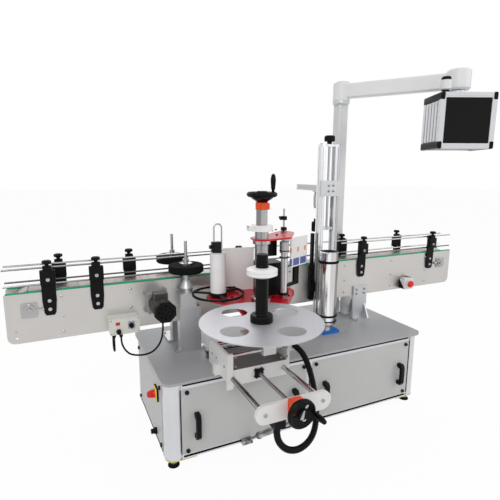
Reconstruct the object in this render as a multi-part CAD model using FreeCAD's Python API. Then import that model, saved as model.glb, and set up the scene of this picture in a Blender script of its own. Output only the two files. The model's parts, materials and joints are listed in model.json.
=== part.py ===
"""Bottle labelling machine: cabinet, slat conveyor, labelling head on a cross slide,
wrap station and operator panel.  Millimetres, +Z up.

The model is laid out with x = 0 at the middle of the cabinet, y = 0 at the front of the
cabinet frame (y grows towards the back) and z = 0 on the floor.  `save` moves every piece
by ORIGIN_Y, so that the origin of the finished part is the middle of its base.
"""
import FreeCAD, Part
import math
import os

V = FreeCAD.Vector

# ---------------------------------------------------------------- driving dimensions
# cabinet
CABINET_WIDTH = 1380.0
CABINET_DEPTH = 620.0
FRAME_HEIGHT = 347.0
FOOT_HEIGHT = 40.0
POST_SIZE = 72.0
POST_RADIUS = 40.0
RAIL_SIZE = 45.0
SLOT_WIDTH = 10.0
SLOT_DEPTH = 6.0
SLOT_INSET = 6.0
PANEL_THICKNESS = 2.0
PANEL_REVEAL = 22.0
FLOOR_LAP = 10.0
TABLE_THICKNESS = 12.0
TABLE_OVERHANG_X = 10.0
TABLE_OVERHANG_Y = 15.0
TABLE_RADIUS = 40.0
HANDLE_LENGTH = 114.0
HANDLE_REACH = 36.0
HANDLE_GRIP = 16.0
HANDLE_OFFSETS = (85.0, 560.0)
PAD_RADIUS = 25.0
PAD_HEIGHT = 12.0
STUD_RADIUS = 7.0
FOOT_PLATE_THICKNESS = 4.0
FOOT_PLATE_LENGTH = 130.0

# conveyor
CONVEYOR_LENGTH = 2500.0
CONVEYOR_WIDTH = 100.0
CONVEYOR_FRONT_Y = 307.0
SIDE_PLATE = 4.0
SIDE_PLATE_HEIGHT = 208.0
SIDE_PLATE_BOTTOM = 543.0
CHAIN_PITCH = 38.1
END_SHAFT_INSET = 87.95
END_TEETH = 12
DRIVE_TEETH = 9
DRIVE_X = -651.0
SLAT_WIDTH = 82.5
SLAT_THICKNESS = 3.2
SLAT_GAP = 1.2
PIN_DROP = 6.5
KNUCKLE_WIDTH = 42.0
KNUCKLE_DEPTH = 5.0
WEAR_STRIP_WIDTH = 15.0
SHAFT_RADIUS = 12.5
RUNNING_FIT = 0.05
JOINT_HOLE_INSET = 35.0
JOINT_HOLE_HEIGHTS = (22.0, 52.0)
JOINT_HOLE_RADIUS = 4.5
RAIL_ROD_RADIUS = 4.0
RAIL_HEIGHTS = (21.0, 90.0)
RAIL_FRONT_Y = 320.0
RAIL_REAR_Y = 395.0

# spacing wheels
WHEEL_X = -512.0
FRONT_WHEEL_Y = 270.0
REAR_WHEEL_Y = 512.0
WHEEL_RADIUS = 80.0
WHEEL_THICKNESS = 35.0
WHEEL_BOTTOM = 787.0
WHEEL_SHAFT_RADIUS = 7.0

# labelling head on its cross slide
SLIDE_ROD_RADIUS = 11.0
SLIDE_ROD_X = (-434.0, -196.0)
SLIDE_ROD_Z = 413.0
SLIDE_FRONT_Y = -372.0
SCREW_X = -314.0
SCREW_RADIUS = 8.0
END_PLATE_THICKNESS = 15.0
END_PLATE_RADIUS = 36.0
SADDLE_FRONT_Y = -90.0
SADDLE_DEPTH = 208.0
SADDLE_WALL = 12.0
SADDLE_TOP = 520.0
SADDLE_CLEARANCE = 2.0
CROSS_ROD_RADIUS = 8.0
COLUMN_X = -254.0
COLUMN_Y = 14.0
COLUMN_RADIUS = 24.0
COLUMN_TOP = 1085.0
SLEEVE_WALL = 5.0
HEAD_PLATE_Z = 677.0
HEAD_PLATE_THICKNESS = 8.0
TRAY_X = -383.0
TRAY_Y = -249.0
TRAY_RADIUS = 229.0
TRAY_THICKNESS = 3.0
TRAY_LIFT = 14.0
SPINDLE_RADIUS = 23.0
REWIND_X = -397.0
REWIND_Y = 160.0
REWIND_RADIUS = 118.0
ROLLER_RADIUS = 14.0
FRONT_ROLLER = (-135.0, 28.0)
REAR_ROLLER = (-60.0, 150.0)
ROLLER_TOP = 945.0
FRONT_COLLAR_Z = 890.0
REAR_COLLAR_Z = 915.0
UPPER_PLATE_Z = 955.0

# handwheels
HANDWHEEL_RADIUS = 55.0
TOP_WHEEL_RADIUS = 64.0
HANDWHEEL_GRIP = 75.0

# wrap station
WRAP_X = 230.0
WRAP_Y = 200.0
WRAP_RADIUS = 48.0
WRAP_BOTTOM = 450.0
WRAP_TOP = 835.0
LIFT_X = 264.0
LIFT_Y = 280.0
LIFT_PROFILE = 30.0
LIFT_SPAN = 120.0
RUB_BAR_FROM_LIFT = 16.0
LIFT_TOP = 1380.0
LIFT_SCREW_RADIUS = 6.0
BRIDGE_Z = 940.0
BRIDGE_HEIGHT = 15.0
CARRIAGE_Z = 1157.0
ARM_LENGTH = 300.0
PAD_X = 252.0
PAD_Y = 357.0

# operator panel
HMI_POST_X = 475.0
HMI_POST_Y = 480.0
HMI_POST_SIZE = 60.0
HMI_FLANGE = 120.0
HMI_POST_TOP = 1633.0
HMI_ARM_ANGLE = -55.6
HMI_ARM_LENGTH = 593.0
HMI_ARM_HEIGHT = 76.0
HMI_ARM_WIDTH = 60.0
HMI_JOINT_RADIUS = 58.0
HMI_BOX_YAW = 25.1
HMI_WIDTH = 265.0
HMI_HEIGHT = 257.0
HMI_DEPTH = 200.0

# ---------------------------------------------------------------- derived places
HALF_WIDTH = CABINET_WIDTH / 2.0
FRAME_TOP = FOOT_HEIGHT + FRAME_HEIGHT
TABLE_Z = FRAME_TOP + TABLE_THICKNESS
TABLE_BACK_Y = CABINET_DEPTH + TABLE_OVERHANG_Y
SIDE_PLATE_TOP = SIDE_PLATE_BOTTOM + SIDE_PLATE_HEIGHT
CONVEYOR_BACK_Y = CONVEYOR_FRONT_Y + CONVEYOR_WIDTH
CONVEYOR_MID_Y = CONVEYOR_FRONT_Y + CONVEYOR_WIDTH / 2.0
INNER_FRONT_Y = CONVEYOR_FRONT_Y + SIDE_PLATE
INNER_BACK_Y = CONVEYOR_BACK_Y - SIDE_PLATE
SLAT_TOP = SIDE_PLATE_TOP + 9.0
SLAT_BOTTOM = SLAT_TOP - SLAT_THICKNESS
END_PITCH_RADIUS = CHAIN_PITCH / (2.0 * math.sin(math.pi / END_TEETH))
DRIVE_PITCH_RADIUS = CHAIN_PITCH / (2.0 * math.sin(math.pi / DRIVE_TEETH))
END_SHAFT_X = CONVEYOR_LENGTH / 2.0 - END_SHAFT_INSET
STRAIGHT_LINKS = round(2.0 * END_SHAFT_X / CHAIN_PITCH)
RUN_PITCH = 2.0 * END_SHAFT_X / STRAIGHT_LINKS
END_SHAFT_Z = SLAT_TOP - PIN_DROP - END_PITCH_RADIUS
DRIVE_Z = END_SHAFT_Z - END_PITCH_RADIUS + DRIVE_PITCH_RADIUS
RETURN_Z = END_SHAFT_Z - END_PITCH_RADIUS - PIN_DROP
SADDLE_LEFT_X = SLIDE_ROD_X[0] - 26.0
SADDLE_RIGHT_X = SLIDE_ROD_X[1] + 30.0
SADDLE_BACK_Y = SADDLE_FRONT_Y + SADDLE_DEPTH
SADDLE_BOTTOM = TABLE_Z + SADDLE_CLEARANCE
DECK_Z = 445.0
SLIDE_BACK_Y = SADDLE_BACK_Y + 32.0
HANDWHEEL_Y = SLIDE_FRONT_Y - END_PLATE_THICKNESS - 43.0
GRIP_TIP_Y = HANDWHEEL_Y - 9.0 - HANDWHEEL_GRIP
ORIGIN_Y = -(GRIP_TIP_Y + TABLE_BACK_Y) / 2.0
HEAD_TOP = HEAD_PLATE_Z + HEAD_PLATE_THICKNESS
TRAY_Z = HEAD_TOP + TRAY_LIFT
SLEEVE_RADIUS = COLUMN_RADIUS + SLEEVE_WALL
STAGE_Z = SADDLE_TOP + 2.0


# ---------------------------------------------------------------- shape helpers
def save(name, solids):
    """Write one node: a solid, or a list of separate solids, moved to the part's origin."""
    shape = Part.makeCompound(solids) if isinstance(solids, list) else solids
    shape = shape.copy()
    shape.translate(V(0.0, ORIGIN_Y, 0.0))
    shape.exportStep("parts/" + name + ".step")


def block(x0, x1, y0, y1, z0, z1):
    """Box between two corners, given in any order."""
    low = V(min(x0, x1), min(y0, y1), min(z0, z1))
    return Part.makeBox(abs(x1 - x0), abs(y1 - y0), abs(z1 - z0), low)


def rounded_block(x0, x1, y0, y1, z0, z1, radius):
    """Box whose four upright edges are rounded."""
    solid = block(x0, x1, y0, y1, z0, z1)
    return solid.makeFillet(radius, edges_along(solid, "z"))


def edges_along(solid, axis):
    """Straight edges of a box that run along one axis."""
    found = []
    for edge in solid.Edges:
        run = edge.Vertexes[-1].Point - edge.Vertexes[0].Point
        if abs(getattr(run, axis)) > 0.99 * run.Length:
            found.append(edge)
    return found


def rod_x(x0, x1, y, z, radius):
    return Part.makeCylinder(radius, x1 - x0, V(x0, y, z), V(1, 0, 0))


def rod_y(x, y0, y1, z, radius):
    return Part.makeCylinder(radius, y1 - y0, V(x, y0, z), V(0, 1, 0))


def rod_z(x, y, z0, z1, radius):
    return Part.makeCylinder(radius, z1 - z0, V(x, y, z0), V(0, 0, 1))


def rod_between(start, end, radius):
    run = end - start
    return Part.makeCylinder(radius, run.Length, start, run)


def turned_z(x, y, outline):
    """Solid of revolution about an upright axis; outline is (radius, z) round the section."""
    points = [V(x + radius, y, z) for radius, z in outline]
    face = Part.Face(Part.makePolygon(points + [points[0]]))
    return face.revolve(V(x, y, 0), V(0, 0, 1), 360)


def turned_y(x, z, outline):
    """Solid of revolution about an axis along y; outline is (radius, y)."""
    points = [V(x + radius, y, z) for radius, y in outline]
    face = Part.Face(Part.makePolygon(points + [points[0]]))
    return face.revolve(V(x, 0, z), V(0, 1, 0), 360)


def turned_x(y, z, outline):
    """Solid of revolution about an axis along x; outline is (radius, x)."""
    points = [V(x, y, z + radius) for radius, x in outline]
    face = Part.Face(Part.makePolygon(points + [points[0]]))
    return face.revolve(V(0, y, z), V(1, 0, 0), 360)


def prism_xy(points, z0, z1):
    """Flat outline in the floor plane, raised from z0 to z1."""
    corners = [V(x, y, z0) for x, y in points]
    face = Part.Face(Part.makePolygon(corners + [corners[0]]))
    return face.extrude(V(0, 0, z1 - z0))


def prism_xz(points, y0, y1):
    """Outline in a front plane, run from y0 to y1."""
    corners = [V(x, y0, z) for x, z in points]
    face = Part.Face(Part.makePolygon(corners + [corners[0]]))
    return face.extrude(V(0, y1 - y0, 0))


def prism_yz(points, x0, x1):
    """Outline in a side plane, run from x0 to x1."""
    corners = [V(x0, y, z) for y, z in points]
    face = Part.Face(Part.makePolygon(corners + [corners[0]]))
    return face.extrude(V(x1 - x0, 0, 0))


def ring_of(count, radius, first=0.0):
    """Offsets of points spaced evenly round a circle."""
    places = []
    for index in range(count):
        angle = math.radians(first) + 2.0 * math.pi * index / count
        places.append((radius * math.cos(angle), radius * math.sin(angle)))
    return places


def tube(points, diameter, name):
    """Round cord along straight runs joined by tangent arcs; prints its arc radii."""
    route = [V(*point) for point in points]
    edges = []
    radii = []
    start = route[0]
    for before, corner, after in zip(route, route[1:], route[2:]):
        back = before - corner
        ahead = after - corner
        shorter = min(back.Length, ahead.Length)
        back.normalize()
        ahead.normalize()
        turn = math.pi - back.getAngle(ahead)
        cut = 0.45 * shorter
        radius = cut / math.tan(turn / 2.0)
        radii.append(round(radius))
        enter = corner + back * cut
        leave = corner + ahead * cut
        inward = back + ahead
        inward.normalize()
        reach = radius / math.cos(turn / 2.0) - radius
        edges.append(Part.LineSegment(start, enter).toShape())
        edges.append(Part.Arc(enter, corner + inward * reach, leave).toShape())
        start = leave
    edges.append(Part.LineSegment(start, route[-1]).toShape())
    path = Part.Wire(edges)
    section = Part.Wire(Part.Circle(route[0], route[1] - route[0], diameter / 2.0).toShape())
    solid = path.makePipeShell([section], True, False)
    ideal = math.pi * diameter * diameter / 4.0 * path.Length
    print(name, "length", round(path.Length), "radii", radii, "volume ratio",
          round(solid.Volume / ideal, 4))
    return solid


# ---------------------------------------------------------------- cabinet
def corner_post(side, depth_side):
    """Extruded corner post: one rounded outer corner, a T-slot in each outer face."""
    x_out = side * HALF_WIDTH
    x_in = side * (HALF_WIDTH - POST_SIZE)
    y_out = CABINET_DEPTH if depth_side > 0 else 0.0
    y_in = y_out - depth_side * POST_SIZE
    post = block(x_out, x_in, y_out, y_in, FOOT_HEIGHT, FRAME_TOP)
    outer = []
    for edge in edges_along(post, "z"):
        point = edge.Vertexes[0].Point
        if abs(point.x - x_out) < 0.1 and abs(point.y - y_out) < 0.1:
            outer.append(edge)
    post = post.makeFillet(POST_RADIUS, outer)
    slot_x = x_in + side * (SLOT_INSET + SLOT_WIDTH)
    slot_y = y_in + depth_side * (SLOT_INSET + SLOT_WIDTH)
    front_slot = block(slot_x, slot_x - side * SLOT_WIDTH, y_out, y_out - depth_side * SLOT_DEPTH,
                       FOOT_HEIGHT, FRAME_TOP)
    side_slot = block(x_out, x_out - side * SLOT_DEPTH, slot_y, slot_y - depth_side * SLOT_WIDTH,
                      FOOT_HEIGHT, FRAME_TOP)
    return post.cut(front_slot).cut(side_slot)


def rail_along_x(depth_side, z_out, z_side):
    """Horizontal rail between two posts; its slot lies near the outer edge."""
    y_out = CABINET_DEPTH if depth_side > 0 else 0.0
    y_in = y_out - depth_side * RAIL_SIZE
    reach = HALF_WIDTH - POST_SIZE
    rail = block(-reach, reach, y_out, y_in, z_out, z_out - z_side * RAIL_SIZE)
    slot_z = z_out - z_side * SLOT_INSET
    slot = block(-reach, reach, y_out, y_out - depth_side * SLOT_DEPTH,
                 slot_z, slot_z - z_side * SLOT_WIDTH)
    return rail.cut(slot)


def rail_along_y(side, z_out, z_side):
    x_out = side * HALF_WIDTH
    x_in = side * (HALF_WIDTH - RAIL_SIZE)
    rail = block(x_out, x_in, POST_SIZE, CABINET_DEPTH - POST_SIZE,
                 z_out, z_out - z_side * RAIL_SIZE)
    slot_z = z_out - z_side * SLOT_INSET
    slot = block(x_out, x_out - side * SLOT_DEPTH, POST_SIZE, CABINET_DEPTH - POST_SIZE,
                 slot_z, slot_z - z_side * SLOT_WIDTH)
    return rail.cut(slot)


def middle_post(depth_side):
    y_out = CABINET_DEPTH if depth_side > 0 else 0.0
    y_in = y_out - depth_side * RAIL_SIZE
    half = RAIL_SIZE / 2.0
    low = FOOT_HEIGHT + RAIL_SIZE
    high = FRAME_TOP - RAIL_SIZE
    post = block(-half, half, y_out, y_in, low, high)
    slot = block(-SLOT_WIDTH / 2.0, SLOT_WIDTH / 2.0, y_out, y_out - depth_side * SLOT_DEPTH,
                 low, high)
    return post.cut(slot)


def base_frame():
    members = []
    for side in (-1, 1):
        for depth_side in (-1, 1):
            members.append(corner_post(side, depth_side))
    for z_out, z_side in ((FOOT_HEIGHT, -1), (FRAME_TOP, 1)):
        for sign in (-1, 1):
            members.append(rail_along_x(sign, z_out, z_side))
            members.append(rail_along_y(sign, z_out, z_side))
    members.append(middle_post(-1))
    members.append(middle_post(1))
    return members


def panel_span():
    """Low and high edge of the panels, which leave the rails' slots in view."""
    return FOOT_HEIGHT + PANEL_REVEAL, FRAME_TOP - PANEL_REVEAL - 8.0


def cabinet_panels():
    low, high = panel_span()
    inner = 16.0
    outer = HALF_WIDTH - POST_SIZE + 4.0
    panels = []
    for side in (-1, 1):
        panels.append(block(side * inner, side * outer, -PANEL_THICKNESS, 0.0, low, high))
        panels.append(block(side * inner, side * outer, CABINET_DEPTH,
                            CABINET_DEPTH + PANEL_THICKNESS, low, high))
        x_face = side * HALF_WIDTH
        panels.append(block(x_face, x_face + side * PANEL_THICKNESS, POST_SIZE - 4.0,
                            CABINET_DEPTH - POST_SIZE + 4.0, low, high))
    floor_z = FOOT_HEIGHT + RAIL_SIZE
    floor = block(-HALF_WIDTH + POST_SIZE, HALF_WIDTH - POST_SIZE, FLOOR_LAP,
                  CABINET_DEPTH - FLOOR_LAP, floor_z, floor_z + PANEL_THICKNESS)
    for y_out, y_in in ((0.0, RAIL_SIZE), (CABINET_DEPTH, CABINET_DEPTH - RAIL_SIZE)):
        floor = floor.cut(block(-RAIL_SIZE / 2.0, RAIL_SIZE / 2.0, y_out, y_in, floor_z,
                                floor_z + PANEL_THICKNESS))
    panels.append(floor)
    return panels


def bow_handle(x):
    """Bridge handle standing on a front panel: a bowed grip on two feet."""
    middle = (FOOT_HEIGHT + FRAME_TOP) / 2.0 - 25.0
    half = HANDLE_LENGTH / 2.0
    face = -PANEL_THICKNESS
    outer = face - HANDLE_REACH
    inner = outer + HANDLE_GRIP
    foot = 18.0
    outline = [
        (face, middle - half), (face, middle - half + foot), (inner, middle - half + foot + 6.0),
        (inner, middle + half - foot - 6.0), (face, middle + half - foot), (face, middle + half),
        (outer + 10.0, middle + half), (outer, middle + half - 14.0),
        (outer, middle - half + 14.0), (outer + 10.0, middle - half)]
    return prism_yz(outline, x - HANDLE_GRIP / 2.0 - 2.0, x + HANDLE_GRIP / 2.0 + 2.0)


def panel_handles():
    handles = []
    for offset in HANDLE_OFFSETS:
        handles.append(bow_handle(-offset))
        handles.append(bow_handle(offset))
    return handles


def levelling_feet():
    """Pads with studs under the four corners, and the plated strips they screw into."""
    pieces = []
    inset = POST_SIZE / 2.0
    plate_low = FOOT_HEIGHT - FOOT_PLATE_THICKNESS
    for side in (-1, 1):
        for depth_side in (-1, 1):
            x = side * (HALF_WIDTH - inset)
            y = CABINET_DEPTH - inset if depth_side > 0 else inset
            pad = turned_z(x, y, [(0, 0), (PAD_RADIUS, 0), (PAD_RADIUS, 4.0),
                                  (PAD_RADIUS * 0.55, PAD_HEIGHT), (STUD_RADIUS, PAD_HEIGHT),
                                  (STUD_RADIUS, plate_low), (0, plate_low)])
            pieces.append(pad)
            y_out = CABINET_DEPTH if depth_side > 0 else 0.0
            plate = block(side * HALF_WIDTH, side * (HALF_WIDTH - FOOT_PLATE_LENGTH), y_out,
                          y_out - depth_side * POST_SIZE, plate_low, FOOT_HEIGHT)
            corner = []
            for edge in edges_along(plate, "z"):
                point = edge.Vertexes[0].Point
                if abs(abs(point.x) - HALF_WIDTH) < 0.1 and abs(point.y - y_out) < 0.1:
                    corner.append(edge)
            pieces.append(plate.makeFillet(POST_RADIUS - 4.0, corner))
    return pieces


def table_top():
    half = HALF_WIDTH + TABLE_OVERHANG_X
    return rounded_block(-half, half, -TABLE_OVERHANG_Y, TABLE_BACK_Y, FRAME_TOP, TABLE_Z,
                         TABLE_RADIUS)


SWITCH_Y = 143.0
SWITCH_Z = 290.0
SWITCH_PLATE = 60.0
SWITCH_PLATE_DEPTH = 8.0
SWITCH_SPINDLE = 4.0


def main_switch_base():
    """Square plate with a raised ring, bored for the switch spindle."""
    face = -HALF_WIDTH - PANEL_THICKNESS
    half = SWITCH_PLATE / 2.0
    plate = block(face, face - SWITCH_PLATE_DEPTH, SWITCH_Y - half, SWITCH_Y + half,
                  SWITCH_Z - half, SWITCH_Z + half)
    plate = plate.makeFillet(5.0, edges_along(plate, "x"))
    outer = face - SWITCH_PLATE_DEPTH
    ring = turned_x(SWITCH_Y, SWITCH_Z, [(0, outer + 1.0), (25.0, outer + 1.0),
                                         (23.0, outer - 3.0), (0, outer - 3.0)])
    bore = rod_x(outer - 10.0, face + 1.0, SWITCH_Y, SWITCH_Z, SWITCH_SPINDLE + RUNNING_FIT)
    return plate.fuse(ring).cut(bore)


def main_switch_knob():
    face = -HALF_WIDTH - PANEL_THICKNESS - SWITCH_PLATE_DEPTH - 3.0
    boss = turned_x(SWITCH_Y, SWITCH_Z, [
        (0, face + 9.0), (SWITCH_SPINDLE, face + 9.0), (SWITCH_SPINDLE, face - 0.4),
        (19.0, face - 0.4), (17.0, face - 9.0), (0, face - 9.0)])
    grip = prism_xz([(face - 8.0, SWITCH_Z - 17.0), (face - 8.0, SWITCH_Z + 17.0),
                     (face - 28.0, SWITCH_Z + 12.0), (face - 33.0, SWITCH_Z + 6.0),
                     (face - 33.0, SWITCH_Z - 6.0), (face - 28.0, SWITCH_Z - 12.0)],
                    SWITCH_Y - 6.0, SWITCH_Y + 6.0)
    return boss.fuse(grip)


def control_gear():
    """Mounting plate, power supply, two drives and a row of contactors in the cabinet."""
    floor_z = FOOT_HEIGHT + RAIL_SIZE + PANEL_THICKNESS
    back = CABINET_DEPTH - RAIL_SIZE
    front = back - 4.0
    pieces = [block(-560.0, 560.0, front, back, floor_z, FRAME_TOP - 12.0)]
    pieces.append(block(-520.0, -330.0, front - 90.0, front, floor_z + 40.0, floor_z + 200.0))
    for index in range(2):
        x = -290.0 + 110.0 * index
        pieces.append(block(x, x + 80.0, front - 120.0, front, floor_z + 30.0, floor_z + 210.0))
    for index in range(6):
        x = 0.0 + 60.0 * index
        pieces.append(block(x, x + 45.0, front - 75.0, front, floor_z + 60.0, floor_z + 140.0))
    pieces.append(block(400.0, 530.0, front - 100.0, front, floor_z + 40.0, floor_z + 180.0))
    return pieces


# ---------------------------------------------------------------- conveyor
def side_plate(y0):
    """Conveyor side plate with bores for the three shafts and rounded lower ends."""
    half = CONVEYOR_LENGTH / 2.0
    plate = block(-half, half, y0, y0 + SIDE_PLATE, SIDE_PLATE_BOTTOM, SIDE_PLATE_TOP)
    lower = []
    for edge in edges_along(plate, "y"):
        if edge.Vertexes[0].Point.z < SIDE_PLATE_BOTTOM + 1.0:
            lower.append(edge)
    plate = plate.makeFillet(30.0, lower)
    bores = [(-END_SHAFT_X, END_SHAFT_Z, SHAFT_RADIUS + 1.5),
             (END_SHAFT_X, END_SHAFT_Z, SHAFT_RADIUS + 1.5),
             (DRIVE_X, DRIVE_Z, SHAFT_RADIUS + 1.5)]
    for side in (-1, 1):
        for height in JOINT_HOLE_HEIGHTS:
            bores.append((side * (half - JOINT_HOLE_INSET), SIDE_PLATE_BOTTOM + height,
                          JOINT_HOLE_RADIUS))
    for x, z, radius in bores:
        plate = plate.cut(rod_y(x, y0 - 1.0, y0 + SIDE_PLATE + 1.0, z, radius))
    return plate


BEARING_SIZE = 62.0
BEARING_DEPTH = 14.0
TIE_FROM_END_SHAFT = 122.05
TIE_END_X = END_SHAFT_X - TIE_FROM_END_SHAFT
TIE_X = (-TIE_END_X, -760.0, -300.0, 60.0, 420.0, 760.0, TIE_END_X)


def bearing_housing(x, z, y_face, direction):
    """Square flanged bearing on the outside of a side plate."""
    half = BEARING_SIZE / 2.0
    flange = block(x - half, x + half, y_face, y_face + direction * BEARING_DEPTH * 0.5,
                   z - half, z + half)
    flange = flange.makeFillet(8.0, edges_along(flange, "y"))
    low = min(y_face, y_face + direction * BEARING_DEPTH)
    boss = rod_y(x, low, low + BEARING_DEPTH, z, 24.0)
    bore = rod_y(x, low - 1.0, low + BEARING_DEPTH + 1.0, z, SHAFT_RADIUS + RUNNING_FIT)
    return flange.fuse(boss).cut(bore)


def conveyor_cross_bars():
    """Tie bars between the side plates, and the bearings of the end and drive shafts."""
    pieces = []
    for x in TIE_X:
        pieces.append(rod_y(x, INNER_FRONT_Y, INNER_BACK_Y, END_SHAFT_Z, 9.0))
        pieces.append(block(x - 15.0, x + 15.0, INNER_FRONT_Y, INNER_BACK_Y,
                            SIDE_PLATE_BOTTOM + 8.0, SIDE_PLATE_BOTTOM + 22.0))
    for x in (-END_SHAFT_X, END_SHAFT_X):
        pieces.append(bearing_housing(x, END_SHAFT_Z, CONVEYOR_FRONT_Y, -1))
        pieces.append(bearing_housing(x, END_SHAFT_Z, CONVEYOR_BACK_Y, 1))
    pieces.append(bearing_housing(DRIVE_X, DRIVE_Z, CONVEYOR_BACK_Y, 1))
    return pieces


def wear_strips():
    """Green strips that carry the chain: capped on the side plates above, angles below."""
    half = CONVEYOR_LENGTH / 2.0 - 6.0
    strips = []
    for y_out, sign in ((CONVEYOR_FRONT_Y, 1), (CONVEYOR_BACK_Y, -1)):
        lip = block(-half, half, y_out - sign * 1.5, y_out + sign * SIDE_PLATE, SIDE_PLATE_TOP,
                    SLAT_BOTTOM)
        run = block(-END_SHAFT_X, END_SHAFT_X, y_out, y_out + sign * WEAR_STRIP_WIDTH,
                    SIDE_PLATE_TOP, SLAT_BOTTOM)
        strips.append(lip.fuse(run))
        y_plate = y_out + sign * SIDE_PLATE
        strips.append(block(-END_SHAFT_X + 90.0, END_SHAFT_X - 90.0, y_plate,
                            y_out + sign * (WEAR_STRIP_WIDTH + 3.0), RETURN_Z - 14.0, RETURN_Z))
    return strips


def slat(angle, centre_x, centre_z, radius, pitch):
    """One chain slat, tangent to a circle round a shaft; angle 90 lies on top."""
    half = (pitch - SLAT_GAP) / 2.0
    low = radius + PIN_DROP - SLAT_THICKNESS
    plate = block(-half, half, CONVEYOR_MID_Y - SLAT_WIDTH / 2.0,
                  CONVEYOR_MID_Y + SLAT_WIDTH / 2.0, low, low + SLAT_THICKNESS)
    plate.rotate(V(0, 0, 0), V(0, 1, 0), 90.0 - angle)
    plate.translate(V(centre_x, 0, centre_z))
    return plate


def straight_run(angle, z_low, z_high):
    """One straight run: the row of slats on the band of knuckles between the end shafts."""
    y0 = CONVEYOR_MID_Y - KNUCKLE_WIDTH / 2.0
    band = block(-END_SHAFT_X, END_SHAFT_X, y0, y0 + KNUCKLE_WIDTH, z_low, z_high)
    slats = []
    for index in range(STRAIGHT_LINKS):
        x = -END_SHAFT_X + (index + 0.5) * RUN_PITCH
        slats.append(slat(angle, x, END_SHAFT_Z, END_PITCH_RADIUS, RUN_PITCH))
    return band.multiFuse(slats)


def end_link(centre_x, first):
    """Link on an end turn: knuckles between two pins, and the slat that bridges them."""
    step = 360.0 / END_TEETH
    inner = END_PITCH_RADIUS - KNUCKLE_DEPTH
    outer = END_PITCH_RADIUS + PIN_DROP - SLAT_THICKNESS + 0.4
    corners = []
    for radius, angle in ((inner, first), (outer, first), (outer, first + step),
                          (inner, first + step)):
        turn = math.radians(angle)
        corners.append((centre_x + radius * math.cos(turn),
                        END_SHAFT_Z + radius * math.sin(turn)))
    y0 = CONVEYOR_MID_Y - KNUCKLE_WIDTH / 2.0
    knuckle = prism_xz(corners, y0, y0 + KNUCKLE_WIDTH)
    facet = END_PITCH_RADIUS * math.cos(math.pi / END_TEETH)
    return knuckle.fuse(slat(first + step / 2.0, centre_x, END_SHAFT_Z, facet, CHAIN_PITCH))


def slat_chain():
    """Closed loop of hinged slats: two straight runs and six links round each end."""
    low = END_PITCH_RADIUS - KNUCKLE_DEPTH
    high = END_PITCH_RADIUS + PIN_DROP - SLAT_THICKNESS + 0.3
    links = [straight_run(90.0, END_SHAFT_Z + low, END_SHAFT_Z + high),
             straight_run(270.0, END_SHAFT_Z - high, END_SHAFT_Z - low)]
    step = 360.0 / END_TEETH
    for index in range(END_TEETH // 2):
        links.append(end_link(-END_SHAFT_X, 90.0 + step * index))
        links.append(end_link(END_SHAFT_X, 270.0 + step * index))
    return links


TOOTH_HEIGHT = 7.0


def sprocket(x, z, teeth, pitch_radius, y_start, y_end):
    """Twin toothed discs that straddle the chain knuckles, on one shaft."""
    shaft = rod_y(x, y_start, y_end, z, SHAFT_RADIUS)
    solid = shaft
    root = pitch_radius * math.cos(math.pi / teeth) - TOOTH_HEIGHT
    tip = pitch_radius * math.cos(math.pi / teeth) + 1.0
    outline = []
    for index in range(teeth):
        middle = 360.0 / teeth * (index + 0.5)
        for offset, radius in ((-0.42, root), (-0.16, tip), (0.16, tip), (0.42, root)):
            angle = math.radians(middle + offset * 360.0 / teeth)
            outline.append((x + radius * math.cos(angle), z + radius * math.sin(angle)))
    for sign in (-1, 1):
        y_near = CONVEYOR_MID_Y + sign * (KNUCKLE_WIDTH / 2.0 + 1.5)
        solid = solid.fuse(prism_xz(outline, y_near, y_near + sign * 6.0))
    hub = rod_y(x, CONVEYOR_MID_Y - KNUCKLE_WIDTH / 2.0 - 8.0,
                CONVEYOR_MID_Y + KNUCKLE_WIDTH / 2.0 + 8.0, z, pitch_radius * 0.45)
    return solid.fuse(hub)


GEAR_MOUNT = 90.0
GEARBOX_DEPTH = 62.0
MOTOR_RADIUS = 43.0
MOTOR_LENGTH = 118.0
FAN_LENGTH = 24.0


def drive_gearmotor():
    """Square gearbox on the front plate, ribbed motor barrel, terminal box on top."""
    face = CONVEYOR_FRONT_Y
    half = GEAR_MOUNT / 2.0
    gearbox = block(DRIVE_X - half, DRIVE_X + half, face - GEARBOX_DEPTH, face,
                    DRIVE_Z - half, DRIVE_Z + half)
    gearbox = gearbox.makeFillet(10.0, edges_along(gearbox, "y"))
    lugs = []
    for sx in (-1, 1):
        for sz in (-1, 1):
            lugs.append(rod_y(DRIVE_X + sx * 40.0, face - 12.0, face, DRIVE_Z + sz * 40.0, 14.0))
    gearbox = gearbox.multiFuse(lugs)
    motor_end = face - GEARBOX_DEPTH
    outline = [(0, motor_end), (MOTOR_RADIUS, motor_end)]
    fins = 5
    fin_pitch = MOTOR_LENGTH / (2 * fins + 1)
    for index in range(fins):
        y = motor_end - fin_pitch * (2 * index + 1)
        outline += [(MOTOR_RADIUS, y), (MOTOR_RADIUS - 3.0, y),
                    (MOTOR_RADIUS - 3.0, y - fin_pitch), (MOTOR_RADIUS, y - fin_pitch)]
    outline += [(MOTOR_RADIUS, motor_end - MOTOR_LENGTH), (0, motor_end - MOTOR_LENGTH)]
    motor = turned_y(DRIVE_X, DRIVE_Z, outline)
    terminal = block(DRIVE_X - 28.0, DRIVE_X + 28.0, motor_end - 70.0, motor_end - 12.0,
                     DRIVE_Z + MOTOR_RADIUS - 8.0, DRIVE_Z + MOTOR_RADIUS + 18.0)
    bore = rod_y(DRIVE_X, face - GEARBOX_DEPTH + 10.0, face + 1.0, DRIVE_Z,
                 SHAFT_RADIUS + RUNNING_FIT)
    return gearbox.fuse(motor).fuse(terminal).cut(bore)


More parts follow.
